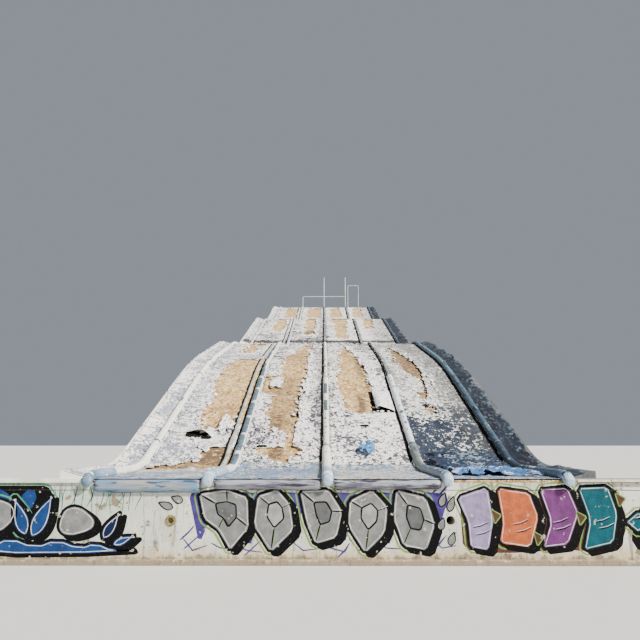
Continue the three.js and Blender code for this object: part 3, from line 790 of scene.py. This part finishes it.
# Painted shadow along the strip's left: a near-black sheet.
u, s, _, faces = cut_grid(np.linspace(0, 1, 4), spaced(2.4, TOP_CREST - 0.4, 0.07),
                          lambda u, v: 0.55 - u + 0.6 * ripple(v, u, 0.16, 6))
x = strip_line(s) - 0.034 - 0.060 * u
lay_painted_shade("foam_strip_shadow", x, s, 0.032 - 0.012 * u, turned_over(faces))


# Loose sheeting: places where the liner has let go in one piece. Two flaps stand up off the mats, and at the
# foot of the last lane whole sheets have slid down and lie crumpled.
def loose_sheet(name, across, along, form, finish, *keep):
    """A loose sheet, cut by keep. form turns its flat grid into a place across, a place along and a rise."""
    u, v, _, faces = cut_grid(spaced(*across), spaced(*along), *keep)
    under = at(*form(u, v))
    a, b, c, d = under[[face for face in faces if len(face) == 4]].swapaxes(0, 1)
    spread = np.linalg.norm(np.cross(c - a, d - b), axis=1).sum() / 2
    width = across[1] - across[0]
    piece = piece_of(name, shell(under + (0, 0, LINER_THICK), under, faces), finish, "liner", worn=0.6)
    spread / width


FLAP_WIDTH, FLAP_FOOT, FLAP_HEAD = 0.46, 4.78, 5.95


def rolled_flap(u, v):
    """The sheet beside the third lane's tear has come up in a long arch, steep on the side of the tear."""
    t = u / FLAP_WIDTH
    lift = np.interp(v, (FLAP_FOOT, 5.3, FLAP_HEAD), (0.125, 0.120, 0.02))
    rise = 0.014 + lift * (1 - t ** 1.6) * smooth(t, -0.25, 0.25) + 0.008 * ripple(u, v, 0.15, 1)
    return 1.01 + 0.395 * t, v + 0.02 * ripple(u, 0, 0.12, 3) * (v < 4.9), rise


def raised_flap(u, v):
    """The first lane's sheet has lifted off the mat in a lopsided arch, open towards the pool."""
    t = np.clip((u + 2.66) / 0.60, 0, 1)
    edge_s = 3.80 - 0.26 * t
    s = edge_s + (v - 3.42) * (3.98 - 0.08 * t - edge_s) / 0.73
    arch = 0.11 * np.sin(math.pi * t ** 1.5) * (1 - smooth(v, 3.45, 4.1))
    return u, s, 0.014 + arch + 0.01 * ripple(u, v, 0.2, 2)


turned_liner = liner_finish("turned_liner", (216, 216, 214), (254, 252, 248), 0.12)
loose_sheet("rolled_flap_lane_3", (0, FLAP_WIDTH, 0.02), (FLAP_FOOT, FLAP_HEAD, 0.05),
            rolled_flap, turned_liner)
loose_sheet("raised_flap_lane_1", (-2.86, -2.03, 0.04), (3.42, 4.15, 0.045), raised_flap, turned_liner)

# Painted shade in the shaded openings under the flaps and in short splits: left, right, start, end and rise.
for name, (*sides, rise) in {
    "under_flap_lane_1": (-2.70, -2.03, 3.50, 3.9, 0.008),
    "under_flap_lane_3": (0.93, 1.40, 4.72, 5.95, 0.008),
    "in_split_lane_2": (-1.22, -1.04, 3.17, 3.25, 0.020),
    "in_split_lane_3": (0.64, 0.82, 4.03, 4.13, 0.020),
    "in_split_lane_4": (1.99, 2.19, 5.03, 5.17, 0.022),
}.items():
    x, s, _, faces = cut_grid(spaced(*sides[:2], 0.03), spaced(*sides[2:], 0.03),
                              lambda u, v: 0.94 + 0.12 * ripple(u, v, 0.09, 4) - off_centre(u, v, *sides))
    lay_painted_shade(f"silt_{name}", x, s, rise + 0.004 * ripple(x, s, 0.08, 5), faces)


def crumple(height, size, seed, run=0.7, foot=-9):
    """Folds of a slack sheet: long swells, sharp ridges and a few fine creases. It lies flat at its foot."""
    def form(u, v):
        swells = 0.5 + 0.5 * ripple(u * 0.6, v, size, seed)
        ridges = np.clip(1 - 2.4 * abs(ripple(u * run, v, size, seed + 3)), 0, 1)
        creases = np.clip(1 - 3 * abs(ripple(u, v, size * 0.3, seed + 5)), 0, 1)
        loose = 0.1 + 0.9 * smooth(v + 0.2 * ripple(u, 0, 0.22, seed), foot, foot + 0.3)
        rise = 0.018 + height * loose * (0.45 * swells + 0.4 * ridges + 0.15 * creases)
        return u + 0.04 * ripple(u, v, size, seed + 9), v + 0.05 * ripple(u, v, size, seed + 12), rise
    return form


def torn(*sides):
    """Keeps a ragged scrap between those sides."""
    def keep(u, v):
        ragged = 0.5 * ripple(u, v * 0.6, 0.12, sides[2]) + 0.25 * ripple(u, v * 0.6, 0.05, sides[3])
        return 0.85 - off_centre(u, v, *sides) + ragged
    return keep


# The dark liner of the higher sheet at the last lane's foot is painted shade.
shaded_liner = liner_finish("shaded_liner", (38, 56, 82), (136, 156, 166), -0.13, lie=(0.5, 0.8, 1))
slack_liner = liner_finish("slack_liner", (78, 126, 180), (204, 216, 226), -0.11, lie=(0.5, 0.8, 1))
bright_scrap = liner_finish("bright_scrap", (84, 156, 214), (190, 220, 240), -0.16)
# Where each crumpled sheet lies, across and along, its torn sides, its folds and its finish.
for name, across, along, sides, folds, finish in (
    ("sheet_lane_4_low", (1.64, 2.84, 0.03), (0.45, 1.5, 0.03), (1.58, 2.9, 0.4, 1.6),
     (0.13, 0.26, 3, 0.5, 0.42), slack_liner),
    ("sheet_lane_4_high", (1.66, 2.84, 0.03), (1.45, 2.9, 0.03), (1.6, 2.9, 1.35, 3.0),
     (0.13, 0.26, 7, 0.3), shaded_liner),
    ("scrap_lane_3", (0.56, 0.84, 0.02), (2.76, 3.24, 0.025), (0.56, 0.84, 2.76, 3.24),
     (0.14, 0.14, 5), bright_scrap),
    ("scrap_lane_1", (-2.04, -1.74, 0.02), (3.72, 4.5, 0.03), (-2.04, -1.74, 3.72, 4.5),
     (0.09, 0.14, 6), faded_liner),
    ("scrap_lane_2", (-1.28, -0.96, 0.02), (6.1, 6.85, 0.03), (-1.28, -0.96, 6.1, 6.85),
     (0.05, 0.16, 8), faded_liner),
):
    loose_sheet(f"crumpled_{name}", across, along, crumple(*folds), finish, torn(*sides))

# Painted shadow along the right of the tears, where their edges curl up: near-black sheets under the curls.
# Each lane's number says how bare its edges are.
for lane, bareness in {2: 0.08, 3: 0.15, 4: -0.25}.items():
    def curl_shadow(u, v):
        clear = beyond_tears(u, v, lane)
        right_edge = 2 * (beyond_tears(u + 0.03, v, lane) - clear)
        patchy = 0.2 * (ripple(u, v * 0.6, 0.15, lane + 60) - bareness)
        return np.minimum.reduce([0.020 - abs(clear + 0.012), patchy, right_edge])

    x, s, _, faces = cut_grid(spaced(*lane_edges(lane), 0.022), spaced(2.6, 12.5, 0.03), curl_shadow)
    lay_painted_shade(f"edge_shadow_lane_{lane}", x, s, 0.006, faces)

# Flakes: scraps of the liner's chalked top coat. The sun has curled them up, and they lie loose along the
# tears where they broke off.
FLAKE_COUNT, FLAKE_TRIES, FLAKE_REACH = 1100, 6600, 2.9
dice = np.random.default_rng(5)
flake_x = dice.uniform(-FLAKE_REACH, FLAKE_REACH, FLAKE_TRIES)
flake_s = 2.2 + 32 * dice.uniform(0, 1, FLAKE_TRIES) ** 1.7
across_lanes = flake_x + LANES * LANE_PITCH / 2
flake_lane = across_lanes // LANE_PITCH + 1
nearness = 0 * flake_x
for lane in range(1, LANES + 1):
    here = flake_lane == lane
    nearness[here] = beyond_tears(flake_x[here], flake_s[here], lane)
off_line = abs(across_lanes % LANE_PITCH - LANE_PITCH / 2) < LANE_HALF - 0.06
by_tear = abs(nearness - 0.03) < 0.13 * dice.uniform(0, 1, FLAKE_TRIES) ** 0.5
chosen = np.flatnonzero(by_tear & off_line)[:FLAKE_COUNT]
u, v, _, cells = cut_grid(np.linspace(-1, 1, 4), np.linspace(-1, 1, 4))
flakes = []
for x, s in zip(flake_x[chosen], flake_s[chosen]):
    size, aspect, turn, curl = dice.uniform((0.02, 0.5, 0, 0.1), (0.065, 1.0, math.pi, 0.7))
    p = u * size * (1 + 0.25 * np.sin(3 * v + x * 9))
    q = v * size * aspect * (1 + 0.25 * np.sin(4 * u + s * 7))
    place = x + p * math.cos(turn) - q * math.sin(turn), s + p * math.sin(turn) + q * math.cos(turn)
    rise = 0.016 + size * curl * (u ** 2 + 0.4 * v)
    flakes.append(shell(at(*place, rise + 0.002), at(*place, rise), cells))
chalk_flake = Finish("chalked_flake", (240, 238, 232))
chalk_flake.tint(chalk_flake.grain(0.3, 4).between(0.4, 0.6), (206, 206, 206))
chalk_flake.relief(chalk_flake.grain(0.02, 5), 0.003)
piece_of("liner_flakes", joined(flakes), chalk_flake, "liner")

# Kerb aprons: the outermost strip of sheeting, folded up over the kerb beyond the outer tubes. Its outer edge
# has torn and let go.
KERB_INNER, KERB_OUTER, KERB_RISE = 3.0703, 3.45, 0.10
# The right kerb's dark grey is painted shade.
shaded_kerb_paint = Finish("shaded_kerb_paint", (112, 116, 120), roughness=0.85)
shaded_kerb_paint.tint(shaded_kerb_paint.grain(0.4, 6).between(0.38, 0.62), (80, 82, 84))
shaded_kerb_paint.tint(shaded_kerb_paint.grain(0.05, 6).between(0.55, 0.72) * 0.7, (50, 48, 46))
shaded_kerb_paint.relief(shaded_kerb_paint.grain(0.02, 6), 0.006)
dress(shaded_kerb_paint, "right_kerb")
shaded_apron = liner_finish("shaded_apron", (30, 42, 58), (90, 106, 120), -0.10, lie=(1, 0.12, 1))
for (name, side), finish in zip(SIDES.items(), (pale_liner, shaded_apron)):
    def apron_edge(u, v):
        torn_back = KERB_OUTER - 0.05 - u + 0.09 * ripple(v / 2, u, 0.3, side)
        return torn_back + 0.05 * ripple(v / 2, u, 0.06, side + 3)

    out, s, clear, faces = cut_grid(spaced(KERB_INNER + 0.012, KERB_OUTER - 0.004, 0.05),
                                    spaced(0.26, TOP_CREST, 0.06), apron_edge)
    curl = 0.02 * (1 - np.clip(clear / 0.06, 0, 1)) ** 2 * smooth(ripple(out, s, 0.4, 5), -0.2, 0.5)
    rise = 0.004 + 0.004 * (1 + ripple(out, s, 0.3, side)) + curl
    rise += KERB_RISE * (out - KERB_INNER) / (KERB_OUTER - KERB_INNER)
    body = shell(at(side * out, s, rise + LINER_THICK), at(side * out, s, rise),
                 faces if side > 0 else turned_over(faces))
    piece_of(f"{name}_kerb_apron", body, finish, "liner", worn=1 - np.clip(clear / 0.2, 0, 1))


# Lip rolls: foam under sheeting along the wall's top edge, one between each two tube ends. The first is plump
# and blue, the next two have gone slack and streaked, and the last one is missing.
def streaked_finish(name, pale, tan, dark):
    """Sheeting with dirt and paint drawn along it in streaks."""
    streaked = Finish(name, tan, roughness=0.55)
    streak = streaked.grain(0.05, 6, (0.10, 1, 1))
    streaked.tint(streak.between(0.40, 0.56), pale)
    streaked.tint(streaked.grain(0.04, 6, (0.14, 1, 1)).between(0.53, 0.60) * 0.9, dark)
    streaked.relief(streak, 0.006)
    return streaked


blue_roll = streaked_finish("streaked_blue_sheeting", (100, 134, 164), (158, 148, 140), (40, 62, 88))
pale_roll = streaked_finish("streaked_pale_sheeting", (150, 154, 162), (84, 80, 100), (20, 17, 28))
ROLL_TOP, ROLL_DEPTH, ROLL_CLEAR, ROLL_BACK = 1.005, 0.060, 0.085, WALL_FACE - 0.0005
turn = np.linspace(0, math.pi, 13)
plump_roll, slack_roll = (blue_roll, 0.160, 0.008), (pale_roll, 0.120, 0.014)
for lane, (finish, tall, slack) in enumerate((plump_roll, slack_roll, slack_roll), 1):
    left, right = tube_line(lane) + ROLL_CLEAR, tube_line(lane + 1) - ROLL_CLEAR
    x = spaced(left, right, 0.04)[:, None]
    full = 0.75 + 0.25 * smooth(np.minimum(x - left, right - x), 0.0, 0.05)
    sag = 1 - slack * 8 * (0.5 + 0.5 * ripple(x, turn, 0.25, lane))
    droop = slack * (1 - np.cos(turn)) / 2 * ripple(x, 0, 0.2, lane)
    z = ROLL_TOP - tall / 2 + tall / 2 * np.cos(turn) * full - droop
    rings = np.broadcast_arrays(x, ROLL_BACK - ROLL_DEPTH * sag * full * np.sin(turn) ** 0.8, z)
    piece_of(f"lip_roll_{lane}", round_body(np.stack(rings, -1)), finish, "liner", f"lip_nosing_{lane}")

# Copings: cement slabs bedded along the wall's top beyond the slide. The left one is painted white. The right
# one is grey as painted shade, and keeps a row of cream edge tiles.
white_coping = Finish("white_coping", (240, 236, 226))
white_coping.tint(white_coping.grain(0.3, 6).between(0.4, 0.65), (206, 200, 186))
white_coping.tint(white_coping.grain(0.06, 7).between(0.6, 0.66) * 0.7, (132, 122, 104))
white_coping.relief(white_coping.grain(0.03, 6), 0.006)
dress(white_coping, "left_coping", "left_kerb")
shaded_coping = Finish("shaded_coping", (150, 150, 148), roughness=0.9)
shaded_coping.tint(shaded_coping.grain(0.25, 6).between(0.38, 0.62), (112, 112, 110))
shaded_coping.tint(shaded_coping.grain(0.04, 6).between(0.6, 0.7) * 0.6, (70, 68, 64))
shaded_coping.relief(shaded_coping.grain(0.02, 6), 0.005)
dress(shaded_coping, "right_coping")
cream_tile = Finish("cream_edge_tile", (232, 220, 196), roughness=0.45)
cream_tile.tint(cream_tile.grain(0.1, 6).between(0.4, 0.7), (196, 180, 150))
cream_tile.relief(cream_tile.grain(0.02, 4), 0.002)
TILE_LENGTH, TILE_GAP, TILES_START, TILES_END = 0.42, 0.012, 3.11, 4.495
COPING_FACE, COPING_FOOT = WALL_FACE - 0.030, 0.978
TILE_PROFILE = [(0.0, 0.002), (0.0, 0.026), (0.004, 0.030), (0.010, 0.030), (0.012, 0.026), (0.012, 0.002)]
tiles = []
for first in np.arange(TILES_START, TILES_END, TILE_LENGTH):
    ends = first, min(first + TILE_LENGTH - TILE_GAP, TILES_END)
    rings = [[(x, COPING_FACE - out, COPING_FOOT + up) for out, up in TILE_PROFILE] for x in ends]
    tiles.append(round_body(np.array(rings)))
piece_of("right_coping_edge_tiles", joined(tiles), cream_tile, "coping", soft=False)

# Pipework on the start platform: a rail, two tall posts and the entry frame, of welded steel tube set in the
# concrete. Their white paint has chipped to rust.
white_pipe = Finish("white_painted_steel", (232, 232, 230))
white_pipe.tint(white_pipe.grain(0.3, 4).between(0.4, 0.6), (206, 206, 204))
rust = white_pipe.grain(0.05, 7).between(0.60, 0.64)
white_pipe.tint(rust, (126, 82, 54))
white_pipe.feed("Roughness", 0.4 + rust * 0.45)
white_pipe.relief(1 - rust, 0.002)
dress(white_pipe, "start_rail", "tall_post_centre", "tall_post_right", "entry_frame")

# Painting on the end wall: sprayed in flat colours under black outlines, in three groups. Leaves and pebbles
# in blues and greys are on the left, silver shards in the middle and slanted blocks on the right.
COAT_COLOURS = {
    "black": (8, 8, 10), "silver": (132, 134, 134), "pale_silver": (158, 160, 158),
    "dark_silver": (96, 98, 100), "white": (226, 228, 224), "lime": (118, 162, 76), "mint": (86, 150, 116),
    "purple": (74, 62, 128), "blue": (28, 66, 122), "navy": (20, 32, 68), "lilac": (152, 140, 178),
    "orange": (192, 100, 62), "violet": (112, 60, 116), "teal": (18, 88, 100), "brown": (88, 58, 50),
}
coats = {}


def along_outline(corners, closed=True, rounding=0.12):
    """Points along a drawn line. A closed one has its corners a little rounded."""
    corners = np.asarray(corners, float)
    if closed:
        before, after = np.roll(corners, 1, 0), np.roll(corners, -1, 0)
        cut = corners + rounding * (before - corners), corners + rounding * (after - corners)
        corners = np.concatenate([np.stack(cut, 1).reshape(-1, 2), cut[0][:1]])
    lengths = np.concatenate([[0], np.cumsum(np.linalg.norm(np.diff(corners, axis=0), axis=1))])
    places = np.unique(np.concatenate([spaced(0, lengths[-1], 0.03), lengths]))
    line = np.stack([np.interp(places, lengths, corners[:, k]) for k in (0, 1)], 1)
    return line[:-1] if closed else line


def moved_out(line, distance, closed=True):
    """The line moved to its right by that distance, which is outward from an outline drawn anticlockwise."""
    around = np.concatenate([line[-1:], line, line[:1]] if closed else [line[:1], line, line[-1:]])
    heading = around[2:] - around[:-2]
    heading /= np.maximum(np.linalg.norm(heading, axis=1, keepdims=True), 1e-6)
    return line + np.reshape(distance, (-1, 1)) * np.stack([heading[:, 1], -heading[:, 0]], 1)


def lay_coat(colour, points, faces, proud):
    """Adds a thin coat of paint to the wall, that many millimetres proud of the render."""
    x, z = points.T
    front = np.stack([x, 0 * x + WALL_FACE - proud / 1000, z], -1)
    coats.setdefault(colour, []).append(shell(front, front + (0, (proud - 0.1) / 1000, 0), faces))


def fill(colour, line, proud):
    faces = []
    for a, b, c in geometry.tessellate_polygon([[Vector((x, z, 0)) for x, z in line]]):
        faces.append((a, b, c) if np.cross(line[b] - line[a], line[c] - line[a]) > 0 else (a, c, b))
    lay_coat(colour, line, faces, proud)


def stroke(colour, line, width, proud, shift=0.0, closed=True):
    """A line of paint, whose width wanders as a spray can's does, tapered at both ends of an open line."""
    count = len(line)
    wide = width * (0.85 + 0.35 * ripple(line[:, 0], line[:, 1], 0.12, proud)) / 2
    if not closed:
        wide = wide * np.sin(np.linspace(0.25, math.pi - 0.25, count)) ** 0.5
    sides = moved_out(line, shift + wide, closed), moved_out(line, shift - wide, closed)
    faces = [(k, (k + 1) % count, count + (k + 1) % count, count + k) for k in range(count - 1 + closed)]
    lay_coat(colour, np.concatenate(sides), faces, proud)


def draw(colour, corners, width, proud, shift=(0, 0)):
    """An open line of paint through those corners."""
    stroke(colour, along_outline(corners, closed=False) + shift, width, proud, closed=False)


def motif(colour, corners, order, glow="lime", shade=(0.065, -0.045), rounding=0.12):
    """One shape: a glow, an offset black shade, the fill, its black outline and a white line just inside."""
    line = along_outline(corners, rounding=rounding)
    lift = 0.15 * order
    if glow:
        stroke(glow, line, 0.022, 0.7 + lift, shift=0.046)
    fill("black", moved_out(line + shade, 0.022), 1.0 + lift)
    fill(colour, line, 1.3 + lift)
    stroke("black", line, 0.038, 1.6 + lift, shift=0.004)
    stroke("white", line, 0.010, 1.9 + lift, shift=-0.028)


def leaf(foot_x, foot_z, heading, length, width):
    """Corners of a pointed leaf that grows from its foot in that direction, in degrees."""
    turn = math.radians(heading)
    t = np.linspace(0, 1, 9)
    belly = width / 2 * np.sin(math.pi * t ** 0.7)
    along, aside = np.concatenate([t, t[-2:0:-1]]) * length, np.concatenate([-belly, belly[-2:0:-1]])
    x = foot_x + along * math.cos(turn) - aside * math.sin(turn)
    return np.stack([x, foot_z + along * math.sin(turn) + aside * math.cos(turn)], 1)


def pebble(x, z, width, height, lean):
    t = np.linspace(0, 2 * math.pi, 14, endpoint=False)
    reach = 1 + 0.10 * np.sin(3 * t + lean)
    return np.stack([x + width / 2 * reach * np.cos(t), z + height / 2 * reach * np.sin(t)], 1)


# Leaves and pebbles
swell = [(-4.48, 0.10), (-2.35, 0.12), (-2.40, 0.20), (-2.62, 0.17), (-2.86, 0.27), (-3.05, 0.20),
         (-3.34, 0.31), (-3.60, 0.21), (-3.92, 0.33), (-4.16, 0.22), (-4.48, 0.30)]
motif("blue", swell, 0, glow=None, shade=(0.02, -0.01), rounding=0.3)
for order, (colour, corners) in enumerate([
    ("navy", leaf(-4.34, 0.34, 80, 0.56, 0.20)), ("silver", pebble(-4.06, 0.58, 0.36, 0.40, 1.0)),
    ("blue", leaf(-3.72, 0.32, 112, 0.52, 0.20)), ("blue", leaf(-3.66, 0.30, 66, 0.58, 0.22)),
    ("silver", pebble(-3.12, 0.50, 0.46, 0.36, 2.2)), ("navy", leaf(-2.78, 0.28, 58, 0.40, 0.16)),
    ("blue", leaf(-2.66, 0.22, 22, 0.32, 0.12)),
]):
    motif(colour, corners, order, glow="mint" if order < 3 else None, rounding=0.25)
for x in np.arange(-3.42, -2.30, 0.075):
    drip = [(x, 0.93), (x + 0.05 * math.sin(31 * x), 0.80), (x - 0.03, 0.70 - 0.12 * abs(math.sin(17 * x)))]
    draw("mint" if math.sin(47 * x) > 0 else "teal", drip, 0.014, 0.8)

backdrop = along_outline([(-4.44, 0.27), (-3.60, 0.26), (-3.44, 0.50), (-3.38, 0.76), (-3.50, 0.93),
                          (-3.92, 0.93), (-4.44, 0.93)])
stroke("mint", backdrop, 0.03, 0.35, shift=0.02)
fill("black", backdrop, 0.45)
for corners in ([(-4.20, 0.36), (-3.96, 0.40), (-3.90, 0.66), (-4.02, 0.90), (-4.28, 0.88)],
                [(-3.84, 0.62), (-3.70, 0.60), (-3.60, 0.86), (-3.80, 0.90)]):
    fill("blue", along_outline(corners, rounding=0.3), 0.6)

# Silver shards, each cut like a crystal round an inner face
SHARDS = [
    [(-1.62, 0.84), (-1.54, 0.52), (-1.36, 0.40), (-1.20, 0.14), (-0.96, 0.42), (-0.98, 0.80), (-1.26, 0.90)],
    [(-0.88, 0.82), (-0.93, 0.46), (-0.70, 0.12), (-0.40, 0.40), (-0.46, 0.72), (-0.62, 0.90)],
    [(-0.36, 0.88), (-0.28, 0.50), (-0.16, 0.22), (0.12, 0.30), (0.20, 0.62), (0.02, 0.90)],
    [(0.26, 0.76), (0.24, 0.44), (0.46, 0.11), (0.72, 0.36), (0.76, 0.68), (0.56, 0.90)],
    [(0.84, 0.90), (0.80, 0.54), (0.92, 0.20), (1.22, 0.15), (1.34, 0.46), (1.24, 0.80)],
]
for x, wide, low in ((-1.74, 0.40, 0.22), (-1.10, 0.34, 0.16), (-0.56, 0.30, 0.18), (0.06, 0.34, 0.20),
                     (0.62, 0.30, 0.16), (1.16, 0.36, 0.22)):
    fill("purple", along_outline([(x, 0.86), (x + wide * 0.4, low), (x + wide, 0.83)]), 0.4)
for k, x in enumerate(np.arange(-1.78, 1.5, 0.34)):
    dash = [(x, 0.30 - 0.05 * (k % 3)), (x + 0.12, 0.16 + 0.03 * (k % 2)), (x + 0.30, 0.22 - 0.04 * (k % 3))]
    draw("purple", dash, 0.022, 0.3)
for order, corners in enumerate(SHARDS):
    motif("silver", corners, order % 2)
    corners = np.array(corners)
    middle = corners.mean(0) + (0.03, 0.06)
    facet = middle + 0.40 * (corners - middle)
    fill("pale_silver" if order % 2 else "dark_silver", along_outline(facet), 2.0)
    stroke("black", along_outline(facet), 0.022, 2.3)
    for k in range(0, len(corners), 2):
        ray = [facet[k], 0.88 * corners[k] + 0.12 * middle]
        draw("black", ray, 0.020, 2.2)
        draw("lime" if k % 4 else "white", ray, 0.007, 2.3, shift=0.016)
for k, (x, z) in enumerate([(1.36, 0.92), (1.42, 0.88), (1.38, 0.80), (1.46, 0.74), (-1.72, 0.40),
                            (-1.66, 0.30), (1.34, 0.36), (1.38, 0.28), (-0.92, 0.22), (0.22, 0.20)]):
    draw("purple", [(x - 0.10, z - 0.12), (x, z - 0.03), (x + 0.05 + 0.02 * (k % 3), z + 0.05)], 0.026, 0.45)

# Slanted blocks
# The black mass at the far right is partly black paint and partly painted shade.
fill("black", along_outline([(3.72, 0.30), (3.80, 0.16), (4.44, 0.14), (4.44, 0.93), (4.02, 0.92),
                             (3.90, 0.78)]), 0.5)
fill("brown", along_outline([(1.64, 0.74), (1.66, 0.17), (2.20, 0.13), (2.90, 0.17), (3.56, 0.14),
                             (3.74, 0.58), (2.7, 0.80)]), 0.4)
BLOCKS = [
    ("lilac", [(1.60, 0.80), (1.72, 0.50), (1.74, 0.19), (1.98, 0.15), (2.06, 0.52), (2.00, 0.93)]),
    ("orange", [(2.10, 0.92), (2.15, 0.50), (2.10, 0.24), (2.50, 0.18), (2.62, 0.56), (2.52, 0.86)]),
    ("violet", [(2.62, 0.90), (2.74, 0.50), (2.62, 0.18), (2.96, 0.22), (3.12, 0.60), (3.00, 0.93)]),
    ("teal", [(3.10, 0.92), (3.22, 0.52), (3.12, 0.15), (3.52, 0.24), (3.60, 0.60), (3.50, 0.94)]),
    ("teal", [(3.66, 0.50), (3.82, 0.36), (3.98, 0.50), (3.84, 0.64)]),
]
for order, (colour, corners) in enumerate(BLOCKS):
    motif(colour, corners, order % 2)
    corners = np.array(corners)
    middle = corners.mean(0)
    for share in (0.35, 0.62):
        start = middle + share * (corners[len(corners) // 2] - middle) * 0.9 + (0.0, 0.05)
        crease = [start - (0.10, 0.02), start, start + (0.09, 0.04)]
        draw("black", crease, 0.014, 2.1)
        draw("white", crease, 0.007, 2.2, shift=(0.0, 0.016))
for x, z in ((2.07, 0.56), (2.58, 0.30), (3.12, 0.54), (3.62, 0.76)):
    gore = along_outline([(x - 0.05, z + 0.09), (x - 0.01, z - 0.09), (x + 0.08, z + 0.02)])
    fill("brown", gore, 2.4)
    stroke("lime", gore, 0.016, 2.6)
for k, x in enumerate((3.95, 4.06, 4.18, 4.30)):
    haze = [(x, 0.86 - 0.04 * k), (x + 0.10, 0.74), (x + 0.02, 0.60 + 0.03 * k), (x + 0.12, 0.50)]
    draw("mint" if k % 2 else "navy", haze, 0.018, 0.9)
for x, z, tall in ((1.40, 0.68, 0.18), (1.50, 0.62, 0.20), (1.38, 0.40, 0.16), (1.50, 0.22, 0.17),
                   (-1.92, 0.66, 0.20), (-1.80, 0.74, 0.16)):
    petal = along_outline(leaf(x, z, 70 + 90 * (x < 0), tall, 0.09), rounding=0.3)
    fill("silver", petal, 2.4)
    stroke("black", petal, 0.016, 2.6)

for colour, bodies in coats.items():
    coat = Finish(f"sprayed_{colour}", COAT_COLOURS[colour], roughness=0.75)
    coat.shader["Specular IOR Level"].default_value = 0.12
    coat.tint(coat.grain(0.12, 5).between(0.35, 0.65), [int(c * 0.84) for c in COAT_COLOURS[colour]])
    lost = coat.grain(0.09, 9).between(0.635, 0.655)
    coat.tint(lost * 0.8, (196, 190, 174))
    coat.tint(coat.grain(0.02, 4).between(0.62, 0.7) * 0.4, (90, 86, 78))
    coat.relief(coat.grain(0.03, 6) - lost * 0.4, 0.004)
    piece_of(f"painted_{colour}", joined(bodies), coat, "painted_render", soft=False)

# Cold joint: the seam between the masonry and the ring beam that was cast on it later. It shows through the
# paint as a fine crack.
crack = Finish("cold_joint_crack", (42, 38, 34), roughness=0.95)
crack.tint(crack.grain(0.05, 5).between(0.4, 0.6), (74, 66, 56))
crack.relief(crack.grain(0.01, 4), 0.002)
for start, end in ((-4.49, -2.95), (-2.9, 1.0), (0.96, 4.49)):
    x = spaced(start, end, 0.03)
    stroke("crack", np.stack([x, 0.878 + 0.004 * ripple(x, 0, 0.15, 3)], 1), 0.006, 3.4, closed=False)
piece_of("cold_joint", joined(coats["crack"]), crack, "painted_render", soft=False)
